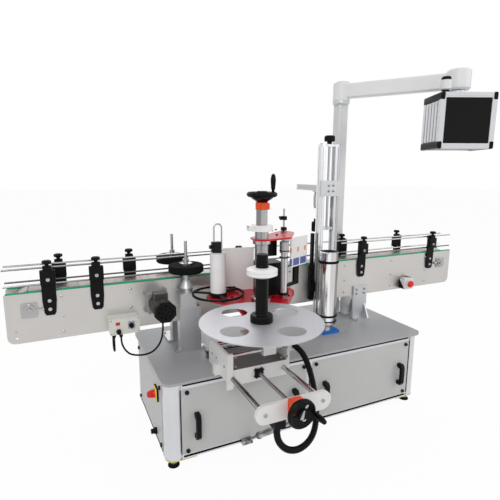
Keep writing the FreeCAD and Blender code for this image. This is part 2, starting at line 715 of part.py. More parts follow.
def motor_fan_cover():
    """Eight-sided cowl with rounded rim and a ring of air slots."""
    y_back = CONVEYOR_FRONT_Y - GEARBOX_DEPTH - MOTOR_LENGTH
    y_front = y_back - FAN_LENGTH
    rim = ring_of(8, MOTOR_RADIUS + 5.0, 22.5)
    cover = prism_xz([(DRIVE_X + dx, DRIVE_Z + dz) for dx, dz in rim], y_front, y_back)
    slots = []
    for dx, dz in ring_of(8, 27.0):
        slots.append(rod_y(DRIVE_X + dx, y_front - 1.0, y_front + 6.0, DRIVE_Z + dz, 5.0))
    for dx, dz in ring_of(4, 12.0):
        slots.append(rod_y(DRIVE_X + dx, y_front - 1.0, y_front + 6.0, DRIVE_Z + dz, 4.0))
    return cover.cut(Part.makeCompound(slots))


CONTROL_X = (-862.0, -735.0)
CONTROL_Z = (543.0, 614.0)
CONTROL_DEPTH = 67.0
SPEED_KNOB = (-826.0, 558.0)
ROCKER = (-828.0, 592.0)
SELECTOR = (-772.0, 580.0)
CONTROL_SPINDLE = 3.0
ROCKER_PIN = 1.5
ROCKER_PIN_DEPTH = 3.0


def control_box():
    """Small speed control box with a rocker window and two bored spindle seats."""
    face = CONVEYOR_FRONT_Y - CONTROL_DEPTH
    box = block(CONTROL_X[0], CONTROL_X[1], face, CONVEYOR_FRONT_Y, CONTROL_Z[0], CONTROL_Z[1])
    box = box.makeFillet(4.0, edges_along(box, "y"))
    plate = block(SELECTOR[0] - 19.0, SELECTOR[0] + 19.0, face - 1.5, face,
                  SELECTOR[1] - 19.0, SELECTOR[1] + 19.0)
    box = box.fuse(plate)
    window = block(ROCKER[0] - 8.5, ROCKER[0] + 8.5, face - 1.0, face + 14.0,
                   ROCKER[1] - 7.0, ROCKER[1] + 7.0)
    box = box.cut(window)
    box = box.cut(rod_x(ROCKER[0] - 12.0, ROCKER[0] + 12.0, face + ROCKER_PIN_DEPTH, ROCKER[1],
                        ROCKER_PIN + RUNNING_FIT))
    for x, z in (SPEED_KNOB, SELECTOR):
        box = box.cut(rod_y(x, face - 3.0, face + 14.0, z, CONTROL_SPINDLE + RUNNING_FIT))
    return box


def control_knob(place, radius, proud, length):
    """Fluted knob on a spindle that turns in the box front."""
    face = CONVEYOR_FRONT_Y - CONTROL_DEPTH - proud
    x, z = place
    return turned_y(x, z, [(0, face + 12.0), (CONTROL_SPINDLE, face + 12.0),
                           (CONTROL_SPINDLE, face - 0.4), (radius, face - 0.4),
                           (radius * 0.85, face - length), (0, face - length)])


def speed_knob():
    return control_knob(SPEED_KNOB, 11.0, 0.0, 15.0)


def selector_knob():
    knob = control_knob(SELECTOR, 11.0, 1.5, 10.0)
    face = CONVEYOR_FRONT_Y - CONTROL_DEPTH - 1.5
    pointer = block(SELECTOR[0] - 3.0, SELECTOR[0] + 3.0, face - 16.0, face - 9.0,
                    SELECTOR[1] - 10.0, SELECTOR[1] + 10.0)
    return knob.fuse(pointer)


def rocker_switch():
    """Rocker that tips about a pin along x in its window."""
    face = CONVEYOR_FRONT_Y - CONTROL_DEPTH
    x, z = ROCKER
    body = prism_yz([(face - 4.0, z + 5.5), (face - 1.5, z), (face - 1.0, z - 5.5),
                     (face + 4.0, z - 5.5), (face + 7.0, z - 2.0), (face + 7.0, z + 2.0),
                     (face + 4.0, z + 5.5)], x - 7.5, x + 7.5)
    pin = rod_x(x - 11.5, x + 11.5, face + ROCKER_PIN_DEPTH, z, ROCKER_PIN)
    return body.fuse(pin)


ESTOP_X = 866.0
ESTOP_Z = 582.0
ESTOP_BOX = 68.0
ESTOP_DEPTH = 45.0
ESTOP_STEM = 8.0


def estop_box():
    face = CONVEYOR_FRONT_Y - ESTOP_DEPTH
    half = ESTOP_BOX / 2.0
    box = block(ESTOP_X - half, ESTOP_X + half, face, CONVEYOR_FRONT_Y,
                ESTOP_Z - half, ESTOP_Z + half)
    box = box.makeFillet(5.0, edges_along(box, "y"))
    collar = rod_y(ESTOP_X, face - 5.0, face, ESTOP_Z, 15.0)
    bore = rod_y(ESTOP_X, face - 6.0, face + 24.0, ESTOP_Z, ESTOP_STEM + RUNNING_FIT)
    return box.fuse(collar).cut(bore)


def estop_button():
    """Mushroom button that travels 6 mm into its collar."""
    face = CONVEYOR_FRONT_Y - ESTOP_DEPTH - 5.0
    return turned_y(ESTOP_X, ESTOP_Z, [
        (0, face + 20.0), (ESTOP_STEM, face + 20.0), (ESTOP_STEM, face - 8.0),
        (20.0, face - 8.0), (20.0, face - 15.0), (15.0, face - 21.0), (0, face - 23.0)])


# guide rails ------------------------------------------------------
FRONT_GAP = (-190.0, 400.0)
BRACKET_FROM_LEFT_SHAFT = 77.05
BRACKET_FROM_RIGHT_SHAFT = 96.05
FRONT_BRACKETS = (BRACKET_FROM_LEFT_SHAFT - END_SHAFT_X, -898.0, -240.0, 530.0,
                  END_SHAFT_X - BRACKET_FROM_RIGHT_SHAFT)
REAR_BRACKETS = (-TIE_END_X, -740.0, -300.0, 480.0, 900.0)


def guide_rods():
    """Two rod pairs; the front pair is broken where the labelling head works."""
    half = CONVEYOR_LENGTH / 2.0
    rods = []
    for height in RAIL_HEIGHTS:
        z = SLAT_TOP + height
        rods.append(rod_x(-half, FRONT_GAP[0], RAIL_FRONT_Y, z, RAIL_ROD_RADIUS))
        rods.append(rod_x(FRONT_GAP[1], half, RAIL_FRONT_Y, z, RAIL_ROD_RADIUS))
        rods.append(rod_x(-half, half, RAIL_REAR_Y, z, RAIL_ROD_RADIUS))
    return rods


BRACKET_WIDTH = 36.0
BRACKET_LEG = 100.0


def guide_bracket(x, y_plate, direction, y_rod):
    """Leg on a side plate, a head that grips both rods, and a knob on top."""
    y_out = y_plate - direction * 12.0
    half = BRACKET_WIDTH / 2.0
    leg_low = SIDE_PLATE_TOP - BRACKET_LEG
    leg_high = SLAT_TOP + RAIL_HEIGHTS[0] - 22.0
    leg = prism_xz([(x - half, leg_high), (x + half, leg_high), (x + half, leg_low + 26.0),
                    (x + 8.0, leg_low), (x - 8.0, leg_low), (x - half, leg_low + 26.0)],
                   min(y_out, y_plate - direction * 1.6), max(y_out, y_plate - direction * 1.6))
    seat = block(x - half, x + half, y_out, y_plate, leg_low + 40.0, leg_low + 64.0)
    head_high = SLAT_TOP + RAIL_HEIGHTS[1] + 12.0
    y_front = y_plate - direction * 22.0
    post = block(x - 12.0, x + 12.0, y_out, y_front, leg_high - 40.0, head_high)
    solid = leg.fuse(seat).fuse(post)
    for height in RAIL_HEIGHTS:
        z = SLAT_TOP + height
        grip = block(x - 9.0, x + 9.0, y_front, y_rod, z - 8.0, z + 8.0)
        solid = solid.fuse(grip)
        solid = solid.cut(rod_x(x - 12.0, x + 12.0, y_rod, z, RAIL_ROD_RADIUS))
    middle_y = (y_out + y_front) / 2.0
    knob = turned_z(x, middle_y, [(0, head_high), (6.0, head_high), (6.0, head_high + 8.0),
                                  (19.0, head_high + 11.0), (19.0, head_high + 20.0),
                                  (14.0, head_high + 24.0), (0, head_high + 24.0)])
    return solid.fuse(knob)


def guide_brackets():
    brackets = []
    for x in FRONT_BRACKETS:
        brackets.append(guide_bracket(x, CONVEYOR_FRONT_Y, 1, RAIL_FRONT_Y))
    for x in REAR_BRACKETS:
        brackets.append(guide_bracket(x, CONVEYOR_BACK_Y, -1, RAIL_REAR_Y))
    return brackets


# supports ---------------------------------------------------------
LEFT_SUPPORT = (-549.0, -447.0)
LEFT_SUPPORT_TOP = 618.0
SUPPORT_DEPTH = 45.0
RIGHT_SUPPORT = (483.0, 577.0)
RIGHT_SUPPORT_TOP = 597.0
FOOT_FLANGE = 10.0
HOUSING_HEIGHT = 72.0


def wheel_housing(y, y_column, direction):
    """Bearing block over a support column, with a cone that guides the wheel shaft."""
    block_low = LEFT_SUPPORT_TOP
    y_far = y - direction * 32.0
    top = block_low + HOUSING_HEIGHT
    body = block(WHEEL_X - 38.0, WHEEL_X + 38.0, y_far, y_column, block_low, top)
    cone = turned_z(WHEEL_X, y, [(0, top), (30.0, top), (30.0, top + 24.0),
                                 (15.0, top + 60.0), (15.0, WHEEL_BOTTOM - 12.0),
                                 (0, WHEEL_BOTTOM - 12.0)])
    bore = rod_z(WHEEL_X, y, block_low + 10.0, WHEEL_BOTTOM + 1.0,
                 WHEEL_SHAFT_RADIUS + RUNNING_FIT)
    return [body.cut(bore), cone.cut(bore)]


def left_support():
    """Two box columns that carry the conveyor, feet, and the spacing wheel bearings."""
    x0, x1 = LEFT_SUPPORT
    pieces = []
    for y_plate, direction in ((CONVEYOR_FRONT_Y, 1), (CONVEYOR_BACK_Y, -1)):
        y_out = y_plate - direction * SUPPORT_DEPTH
        pieces.append(block(x0, x1, y_out, y_plate, TABLE_Z + FOOT_FLANGE, LEFT_SUPPORT_TOP))
        y_toe = y_out if direction > 0 else y_out + 90.0
        pieces.append(block(x0 - 22.0, x1 + 22.0, y_toe, y_plate, TABLE_Z,
                            TABLE_Z + FOOT_FLANGE))
    pieces += wheel_housing(FRONT_WHEEL_Y, CONVEYOR_FRONT_Y, 1)
    rear_column = CONVEYOR_BACK_Y + SUPPORT_DEPTH
    gusset = prism_yz([(rear_column, LEFT_SUPPORT_TOP), (rear_column, LEFT_SUPPORT_TOP - 90.0),
                       (REAR_WHEEL_Y + 30.0, LEFT_SUPPORT_TOP - 22.0),
                       (REAR_WHEEL_Y + 30.0, LEFT_SUPPORT_TOP)], WHEEL_X - 30.0, WHEEL_X + 30.0)
    pieces.append(gusset)
    pieces += wheel_housing(REAR_WHEEL_Y, rear_column, -1)
    return pieces


def right_support():
    """Flat brackets bolted to both side plates, each with a foot and a stiffening rib."""
    x0, x1 = RIGHT_SUPPORT
    pieces = []
    for y_plate, direction in ((CONVEYOR_FRONT_Y, 1), (CONVEYOR_BACK_Y, -1)):
        y_out = y_plate - direction * 10.0
        upright = block(x0, x1, y_out, y_plate, TABLE_Z + FOOT_FLANGE, RIGHT_SUPPORT_TOP)
        front = min(y_out, y_plate)
        foot = block(x0, x1, front - 40.0, front + 10.0, TABLE_Z, TABLE_Z + FOOT_FLANGE)
        rib = prism_yz([(front, TABLE_Z + FOOT_FLANGE), (front - 38.0, TABLE_Z + FOOT_FLANGE),
                        (front, TABLE_Z + 90.0)], x1 - 16.0, x1 - 8.0)
        pieces.append(upright.fuse(foot).fuse(rib))
    return pieces


def spacing_wheel(y, block_low):
    """Foam-tyred wheel on its upright shaft, with a clamping hub above and below."""
    shaft = rod_z(WHEEL_X, y, block_low + 12.0, WHEEL_BOTTOM + 143.0, WHEEL_SHAFT_RADIUS)
    top = WHEEL_BOTTOM + WHEEL_THICKNESS
    wheel = turned_z(WHEEL_X, y, [
        (0, WHEEL_BOTTOM - 6.0), (28.0, WHEEL_BOTTOM - 6.0), (28.0, WHEEL_BOTTOM + 3.0),
        (WHEEL_RADIUS - 5.0, WHEEL_BOTTOM), (WHEEL_RADIUS, WHEEL_BOTTOM + 5.0),
        (WHEEL_RADIUS, top - 5.0), (WHEEL_RADIUS - 5.0, top), (30.0, top - 4.0),
        (30.0, top + 8.0), (14.0, top + 12.0), (14.0, top + 26.0), (0, top + 26.0)])
    return wheel.fuse(shaft)


# ---------------------------------------------------------------- cross slide
def slide_rods():
    """Two guide rods, fixed in a block on the table at their rear ends."""
    pieces = []
    low_x = SLIDE_ROD_X[0] - 26.0
    high_x = SLIDE_ROD_X[1] + 26.0
    rear = block(low_x, high_x, SLIDE_BACK_Y, SLIDE_BACK_Y + 25.0, TABLE_Z,
                 SLIDE_ROD_Z + SLIDE_ROD_RADIUS + 12.0)
    for x in SLIDE_ROD_X:
        pieces.append(rod_y(x, SLIDE_FRONT_Y, SLIDE_BACK_Y, SLIDE_ROD_Z, SLIDE_ROD_RADIUS))
    rear = rear.cut(rod_y(SCREW_X, SLIDE_BACK_Y - 1.0, SLIDE_BACK_Y + 15.0, SLIDE_ROD_Z,
                          SCREW_RADIUS + RUNNING_FIT))
    return pieces + [rear]


def slide_end_plate():
    """Front plate with round ends across both rods; the screw turns in its bore."""
    y0 = SLIDE_FRONT_Y - END_PLATE_THICKNESS
    y1 = SLIDE_FRONT_Y
    web = block(SLIDE_ROD_X[0], SLIDE_ROD_X[1], y0, y1, SLIDE_ROD_Z - END_PLATE_RADIUS,
                SLIDE_ROD_Z + END_PLATE_RADIUS)
    for x in SLIDE_ROD_X:
        web = web.fuse(rod_y(x, y0, y1, SLIDE_ROD_Z, END_PLATE_RADIUS))
    return web.removeSplitter().cut(rod_y(SCREW_X, y0 - 1.0, y1 + 1.0, SLIDE_ROD_Z,
                                          SCREW_RADIUS + RUNNING_FIT))


STAY_X = -322.0
STAY_RADIUS = 7.0


def stay_rod():
    """Turnbuckle stay from a clamp on the bottom rail up to a lug under the end plate."""
    plate_low = SLIDE_ROD_Z - END_PLATE_RADIUS
    middle_y = SLIDE_FRONT_Y - END_PLATE_THICKNESS / 2.0
    lug = block(STAY_X - 9.0, STAY_X + 9.0, SLIDE_FRONT_Y - END_PLATE_THICKNESS, SLIDE_FRONT_Y,
                plate_low - 34.0, plate_low)
    clamp = block(STAY_X - 34.0, STAY_X + 16.0, -24.0, 0.0, FOOT_HEIGHT, FOOT_HEIGHT + 20.0)
    low = V(STAY_X, -14.0, FOOT_HEIGHT + 16.0)
    high = V(STAY_X, middle_y, plate_low - 24.0)
    run = high - low
    unit = V(run.x, run.y, run.z).normalize()
    rod = rod_between(low, high, STAY_RADIUS)
    sleeve = rod_between(low + unit * (run.Length * 0.30), low + unit * (run.Length * 0.72), 13.0)
    nuts = []
    for share in (0.27, 0.72):
        start = low + unit * (run.Length * share)
        nuts.append(rod_between(start, start + unit * 12.0, 15.0))
    return lug.multiFuse([clamp, rod, sleeve] + nuts)


def handwheel_y(x, z, y_back):
    """Solid-web handwheel facing the front, with a turned grip on its rim."""
    rim_low = y_back - 18.0
    rim = turned_y(x, z, [(0, y_back), (16.0, y_back), (16.0, y_back - 6.0),
                          (HANDWHEEL_RADIUS - 12.0, y_back - 8.0),
                          (HANDWHEEL_RADIUS - 10.0, y_back - 1.0), (HANDWHEEL_RADIUS - 3.0, y_back),
                          (HANDWHEEL_RADIUS, y_back - 5.0), (HANDWHEEL_RADIUS, rim_low + 5.0),
                          (HANDWHEEL_RADIUS - 5.0, rim_low), (HANDWHEEL_RADIUS - 13.0, rim_low + 4.0),
                          (18.0, rim_low + 6.0), (18.0, rim_low - 2.0), (0, rim_low - 2.0)])
    windows = []
    for dx, dz in ring_of(3, HANDWHEEL_RADIUS * 0.56, 50.0):
        windows.append(rod_y(x + dx, rim_low - 5.0, y_back + 5.0, z + dz, 8.5))
    rim = rim.cut(Part.makeCompound(windows))
    gx = x + HANDWHEEL_RADIUS - 12.0
    grip = turned_y(gx, z, [
        (0, rim_low + 6.0), (6.0, rim_low + 6.0), (6.0, rim_low - 8.0), (9.0, rim_low - 16.0),
        (11.5, rim_low - HANDWHEEL_GRIP * 0.62), (8.0, rim_low - HANDWHEEL_GRIP + 8.0),
        (0, rim_low - HANDWHEEL_GRIP)])
    return rim.fuse(grip)


def slide_handwheel():
    """Front handwheel and its lead screw, one turning piece."""
    wheel = handwheel_y(SCREW_X, SLIDE_ROD_Z, HANDWHEEL_Y + 9.0)
    screw = rod_y(SCREW_X, HANDWHEEL_Y, SLIDE_BACK_Y + 14.0, SLIDE_ROD_Z, SCREW_RADIUS)
    collar = rod_y(SCREW_X, SLIDE_FRONT_Y + 1.0, SLIDE_FRONT_Y + 21.0, SLIDE_ROD_Z, 15.0)
    return wheel.fuse(screw).fuse(collar)


def slide_counter():
    """Position counter round the screw, between the end plate and the handwheel."""
    y1 = SLIDE_FRONT_Y - END_PLATE_THICKNESS
    y0 = HANDWHEEL_Y + 12.0
    body = block(SCREW_X - 32.0, SCREW_X + 20.0, y0, y1, SLIDE_ROD_Z - 22.0, SLIDE_ROD_Z + 44.0)
    body = body.makeFillet(5.0, edges_along(body, "y"))
    return body.cut(rod_y(SCREW_X, y0 - 1.0, y1 + 1.0, SLIDE_ROD_Z, SCREW_RADIUS + 1.0))


def saddle():
    """Sliding carriage: deck, two side plates, front plate, cross rods and bearings."""
    left = SADDLE_LEFT_X
    right = SADDLE_RIGHT_X
    inner_l = left + SADDLE_WALL
    inner_r = right - SADDLE_WALL
    front = SADDLE_FRONT_Y
    back = SADDLE_BACK_Y
    deck = block(inner_l, inner_r, front + SADDLE_WALL, back, DECK_Z - SADDLE_WALL, DECK_Z)
    cheek_l = prism_yz([(front, SADDLE_BOTTOM), (back, SADDLE_BOTTOM), (back, SADDLE_TOP - 40.0),
                        (back - 40.0, SADDLE_TOP), (front, SADDLE_TOP)], left, inner_l)
    cheek_r = prism_yz([(front, SADDLE_BOTTOM), (back, SADDLE_BOTTOM), (back, SADDLE_TOP - 40.0),
                        (back - 40.0, SADDLE_TOP), (front, SADDLE_TOP)], inner_r, right)
    apron = block(inner_l, inner_r, front, front + SADDLE_WALL, SLIDE_ROD_Z - 36.0, DECK_Z)
    post = block(left, inner_l + 14.0, front - 12.0, front, SLIDE_ROD_Z - 44.0, SADDLE_TOP)
    solid = deck.multiFuse([cheek_l, cheek_r, apron, post])
    bearings = []
    for x in SLIDE_ROD_X:
        for y0 in (front + SADDLE_WALL, back - 50.0):
            bearings.append(block(x - 14.0, x + 14.0, y0, y0 + 50.0, SADDLE_BOTTOM,
                                  DECK_Z - SADDLE_WALL))
    bearings.append(block(SCREW_X - 18.0, SCREW_X + 18.0, front + SADDLE_WALL, front + 50.0,
                          SADDLE_BOTTOM, DECK_Z - SADDLE_WALL))
    nut = rod_y(SCREW_X, front - 9.0, front, SLIDE_ROD_Z, 19.0)
    for angle in (0.0, 90.0):
        lobe = block(SCREW_X - 26.0, SCREW_X + 26.0, front - 9.0, front, SLIDE_ROD_Z - 7.0,
                     SLIDE_ROD_Z + 7.0)
        lobe.rotate(V(SCREW_X, 0, SLIDE_ROD_Z), V(0, 1, 0), angle + 45.0)
        nut = nut.fuse(lobe)
    solid = solid.multiFuse(bearings + [nut])
    cross = []
    for y in CROSS_ROD_Y:
        cross.append(rod_x(inner_l, inner_r, y, CROSS_ROD_Z, CROSS_ROD_RADIUS))
    hanger = block(right, right + 44.0, front + 4.0, front + 34.0, SADDLE_TOP - 40.0, SADDLE_TOP)
    lever = turned_x(front + 60.0, SADDLE_TOP - 20.0, [
        (0, right), (9.0, right), (9.0, right + 22.0), (6.0, right + 30.0),
        (8.5, right + 84.0), (5.0, right + 92.0), (0, right + 92.0)])
    lug = block(left - 24.0, left, front + 70.0, front + 96.0, SADDLE_BOTTOM, SADDLE_BOTTOM + 46.0)
    solid = solid.multiFuse(cross + [hanger, lever, lug])
    for x in SLIDE_ROD_X:
        solid = solid.cut(rod_y(x, front - 20.0, back + 1.0, SLIDE_ROD_Z,
                                SLIDE_ROD_RADIUS + RUNNING_FIT))
    return solid.cut(rod_y(SCREW_X, front - 20.0, back + 1.0, SLIDE_ROD_Z,
                           SCREW_RADIUS + RUNNING_FIT))


CROSS_ROD_Y = (SADDLE_FRONT_Y + 28.0, SADDLE_FRONT_Y + 168.0)
CROSS_ROD_Z = SADDLE_TOP - 24.0
STAGE_BLOCK = 30.0


def column_stage():
    """Stage that slides across on the cross rods, with the fixed head column on it."""
    half = STAGE_BLOCK
    y0 = CROSS_ROD_Y[0] - 16.0
    y1 = CROSS_ROD_Y[1] + 16.0
    solid = block(COLUMN_X - 64.0, COLUMN_X + 46.0, y0, y1, STAGE_Z, STAGE_Z + 12.0)
    for y in CROSS_ROD_Y:
        solid = solid.fuse(block(COLUMN_X - half, COLUMN_X + half, y - 15.0, y + 15.0,
                                 CROSS_ROD_Z - 22.0, STAGE_Z))
    flange = turned_z(COLUMN_X, COLUMN_Y, [
        (0, STAGE_Z + 11.0), (44.0, STAGE_Z + 11.0), (44.0, STAGE_Z + 24.0), (32.0, STAGE_Z + 28.0),
        (32.0, STAGE_Z + 50.0), (COLUMN_RADIUS, STAGE_Z + 54.0), (COLUMN_RADIUS, COLUMN_TOP),
        (0, COLUMN_TOP)])
    solid = solid.fuse(flange)
    for y in CROSS_ROD_Y:
        solid = solid.cut(rod_x(COLUMN_X - 90.0, COLUMN_X + 90.0, y, CROSS_ROD_Z,
                                CROSS_ROD_RADIUS + RUNNING_FIT))
    return solid.cut(rod_z(COLUMN_X, COLUMN_Y, COLUMN_TOP - 60.0, COLUMN_TOP + 1.0,
                           SCREW_RADIUS + RUNNING_FIT))


def column_counter():
    """Counter on top of the column, round the lifting screw."""
    body = turned_z(COLUMN_X, COLUMN_Y, [
        (SCREW_RADIUS + 1.0, COLUMN_TOP), (27.0, COLUMN_TOP), (27.0, COLUMN_TOP + 30.0),
        (SCREW_RADIUS + 1.0, COLUMN_TOP + 30.0)])
    counter = block(COLUMN_X - 16.0, COLUMN_X + 16.0, COLUMN_Y - 40.0, COLUMN_Y - 20.0,
                    COLUMN_TOP + 2.0, COLUMN_TOP + 28.0)
    return body.fuse(counter)


def column_handwheel():
    """Dished handwheel with a grip, on the upper end of the lifting screw."""
    base = COLUMN_TOP + 30.5
    rim = TOP_WHEEL_RADIUS
    wheel = turned_z(COLUMN_X, COLUMN_Y, [
        (0, base), (22.0, base), (24.0, base + 14.0), (rim - 14.0, base + 26.0),
        (rim - 6.0, base + 22.0), (rim, base + 28.0), (rim, base + 36.0), (rim - 6.0, base + 42.0),
        (rim - 14.0, base + 38.0), (24.0, base + 34.0), (20.0, base + 46.0), (0, base + 46.0)])
    windows = []
    for dx, dy in ring_of(3, rim * 0.58, 90.0):
        windows.append(rod_z(COLUMN_X + dx, COLUMN_Y + dy, base, base + 60.0, 9.0))
    wheel = wheel.cut(Part.makeCompound(windows))
    screw = rod_z(COLUMN_X, COLUMN_Y, COLUMN_TOP - 58.0, base + 10.0, SCREW_RADIUS)
    gx = COLUMN_X + rim - 12.0
    grip = turned_z(gx, COLUMN_Y, [
        (0, base + 36.0), (6.0, base + 36.0), (6.0, base + 48.0), (9.0, base + 56.0),
        (11.5, base + 92.0), (8.0, base + 112.0), (0, base + 118.0)])
    return wheel.fuse(screw).fuse(grip)


# ---------------------------------------------------------------- labelling head
PLATE_OUTLINE = ((-455, 150), (-425, 212), (-330, 262), (-205, 258), (-110, 205), (-28, 148),
                 (-40, 92), (-95, 20), (-150, -45), (-235, -92), (-300, -170), (-322, -262),
                 (-370, -312), (-432, -282), (-442, -215), (-404, -120), (-392, 0), (-430, 80))


def head_plate():
    """Curved carrier plate and the small upper plate, bored for column and shafts."""
    curve = Part.BSplineCurve()
    curve.interpolate([V(x, y, HEAD_PLATE_Z) for x, y in PLATE_OUTLINE], PeriodicFlag=True)
    lower = Part.Face(Part.Wire(curve.toShape())).extrude(V(0, 0, HEAD_PLATE_THICKNESS))
    lower = lower.cut(rod_z(COLUMN_X, COLUMN_Y, 0.0, UPPER_PLATE_Z, SLEEVE_RADIUS))
    for x, y, radius in ((TRAY_X, TRAY_Y, 16.0), (REWIND_X, REWIND_Y, 10.0),
                         FRONT_ROLLER + (6.0,), REAR_ROLLER + (6.0,)):
        lower = lower.cut(rod_z(x, y, 0.0, UPPER_PLATE_Z, radius + RUNNING_FIT))
    upper = prism_xy([(-292, -8), (-236, -24), (-120, -8), (-96, 28), (-30, 120), (-32, 168),
                      (-74, 182), (-176, 116), (-286, 62)], UPPER_PLATE_Z, UPPER_PLATE_Z + 8.0)
    upper = upper.makeFillet(16.0, edges_along(upper, "z"))
    upper = upper.cut(rod_z(COLUMN_X, COLUMN_Y, 0.0, LIFT_TOP, SLEEVE_RADIUS))
    for x, y in (FRONT_ROLLER, REAR_ROLLER):
        upper = upper.cut(rod_z(x, y, 0.0, LIFT_TOP, 6.0 + RUNNING_FIT))
    return [lower, upper]


def head_sleeve():
    """Sleeve that slides on the column, with clamp collars at the plates and on top."""
    low = HEAD_PLATE_Z - 60.0
    high = 1020.0
    outline = [
        (COLUMN_RADIUS + RUNNING_FIT, low), (40.0, low), (40.0, HEAD_PLATE_Z),
        (SLEEVE_RADIUS, HEAD_PLATE_Z), (SLEEVE_RADIUS, HEAD_TOP), (42.0, HEAD_TOP),
        (42.0, HEAD_TOP + 20.0), (SLEEVE_RADIUS, HEAD_TOP + 24.0),
        (SLEEVE_RADIUS, UPPER_PLATE_Z - 18.0), (38.0, UPPER_PLATE_Z - 14.0),
        (38.0, UPPER_PLATE_Z), (SLEEVE_RADIUS, UPPER_PLATE_Z),
        (SLEEVE_RADIUS, high - 26.0), (47.0, high - 24.0), (47.0, high - 4.0), (43.0, high),
        (COLUMN_RADIUS + RUNNING_FIT, high)]
    sleeve = turned_z(COLUMN_X, COLUMN_Y, outline)
    ear = block(COLUMN_X - 64.0, COLUMN_X - 34.0, COLUMN_Y - 12.0, COLUMN_Y + 12.0,
                high - 22.0, high - 4.0)
    ear = ear.cut(rod_z(COLUMN_X, COLUMN_Y, 0.0, high + 1.0, COLUMN_RADIUS + RUNNING_FIT))
    hub = turned_z(TRAY_X, TRAY_Y, [
        (16.0 - 4.0 + RUNNING_FIT, HEAD_PLATE_Z - 34.0), (34.0, HEAD_PLATE_Z - 34.0),
        (34.0, HEAD_PLATE_Z), (16.0, HEAD_PLATE_Z), (16.0, HEAD_TOP), (34.0, HEAD_TOP),
        (34.0, TRAY_Z - 1.0), (12.0 + RUNNING_FIT, TRAY_Z - 1.0)])
    return [sleeve.fuse(ear), hub]


def supply_tray():
    """Tray disc with four windows that carries the label roll."""
    disc = rod_z(TRAY_X, TRAY_Y, TRAY_Z, TRAY_Z + TRAY_THICKNESS, TRAY_RADIUS)
    cuts = [rod_z(TRAY_X, TRAY_Y, TRAY_Z - 1.0, TRAY_Z + 10.0, 12.0)]
    for dx, dy in ring_of(4, 140.0, 22.0):
        cuts.append(rod_z(TRAY_X + dx, TRAY_Y + dy, TRAY_Z - 1.0, TRAY_Z + 10.0, 50.0))
    return disc.cut(Part.makeCompound(cuts))


def supply_spindle():
    """Black spindle: shaft in the hub, base flange, core tube and top cap."""
    base = TRAY_Z + TRAY_THICKNESS
    return turned_z(TRAY_X, TRAY_Y, [
        (0, HEAD_PLATE_Z - 32.0), (12.0, HEAD_PLATE_Z - 32.0), (12.0, base), (42.0, base),
        (42.0, base + 22.0), (38.0, base + 27.0), (SPINDLE_RADIUS + 3.0, base + 28.0),
        (SPINDLE_RADIUS, base + 32.0), (SPINDLE_RADIUS, base + 222.0), (21.0, base + 222.0),
        (21.0, base + 250.0), (0, base + 250.0)])


def supply_flange():
    """Pale clamping flange that slips on the spindle and holds the roll down."""
    base = TRAY_Z + TRAY_THICKNESS + 168.0
    bore = SPINDLE_RADIUS
    return turned_z(TRAY_X, TRAY_Y, [
        (bore, base), (38.0, base), (56.0, base + 8.0), (56.0, base + 15.0), (52.0, base + 18.0),
        (56.0, base + 21.0), (56.0, base + 28.0), (44.0, base + 33.0), (bore, base + 34.0)])


def rewind_reel():
    """Open spoked ring, waste mandrel roller and the spring pin above it."""
    z0 = HEAD_TOP + 10.0
    ring = turned_z(REWIND_X, REWIND_Y, [
        (REWIND_RADIUS - 9.0, z0), (REWIND_RADIUS, z0), (REWIND_RADIUS, z0 + 8.0),
        (REWIND_RADIUS - 9.0, z0 + 8.0)])
    hub = turned_z(REWIND_X, REWIND_Y, [
        (0, HEAD_PLATE_Z - 12.0), (10.0, HEAD_PLATE_Z - 12.0), (10.0, z0 - 6.0), (40.0, z0 - 2.0),
        (40.0, z0 + 10.0), (35.0, z0 + 12.0), (35.0, z0 + 190.0), (30.0, z0 + 195.0),
        (0, z0 + 195.0)])
    spokes = []
    for index in range(3):
        arm = block(30.0, REWIND_RADIUS - 4.0, -10.0, 10.0, z0 + 1.0, z0 + 7.0)
        arm.rotate(V(0, 0, 0), V(0, 0, 1), 120.0 * index + 25.0)
        arm.translate(V(REWIND_X, REWIND_Y, 0))
        spokes.append(arm)
    low = z0 + 190.0
    legs = [V(REWIND_X - 18.0, REWIND_Y, low), V(REWIND_X - 18.0, REWIND_Y, low + 112.0)]
    bend = Part.Arc(legs[1], V(REWIND_X, REWIND_Y, low + 130.0),
                    V(REWIND_X + 18.0, REWIND_Y, low + 112.0)).toShape()
    end = V(REWIND_X + 18.0, REWIND_Y, low)
    path = Part.Wire([Part.LineSegment(legs[0], legs[1]).toShape(), bend,
                      Part.LineSegment(V(REWIND_X + 18.0, REWIND_Y, low + 112.0), end).toShape()])
    section = Part.Wire(Part.Circle(legs[0], V(0, 0, 1), 3.5).toShape())
    pin = path.makePipeShell([section], True, False)
    return ring.multiFuse([hub, pin] + spokes)


def guide_roller(place, collar_z):
    """Slim roller between the two head plates, with a raised collar and O-ring."""
    x, y = place
    low = HEAD_TOP + 14.0
    return turned_z(x, y, [
        (0, HEAD_PLATE_Z - 10.0), (6.0, HEAD_PLATE_Z - 10.0), (6.0, low), (22.0, low),
        (22.0, low + 8.0), (ROLLER_RADIUS, low + 10.0), (ROLLER_RADIUS, collar_z),
        (20.0, collar_z), (20.0, ROLLER_TOP - 6.0), (6.0, ROLLER_TOP - 4.0),
        (6.0, UPPER_PLATE_Z + 16.0), (0, UPPER_PLATE_Z + 16.0)])


PEEL_START = (-18.0, 176.0)
PEEL_END = (122.0, 242.0)
RING_TOP = HEAD_TOP + 18.0
WEB_THICKNESS = 1.2
WEB_HIGH = 890.0


def board_point(distance):
    """Plan point on the back face of the peel board, measured from its rounded end."""
    run = math.hypot(PEEL_END[0] - PEEL_START[0], PEEL_END[1] - PEEL_START[1])
    share = distance / run
    return (PEEL_START[0] + share * (PEEL_END[0] - PEEL_START[0]),
            PEEL_START[1] + share * (PEEL_END[1] - PEEL_START[1]))


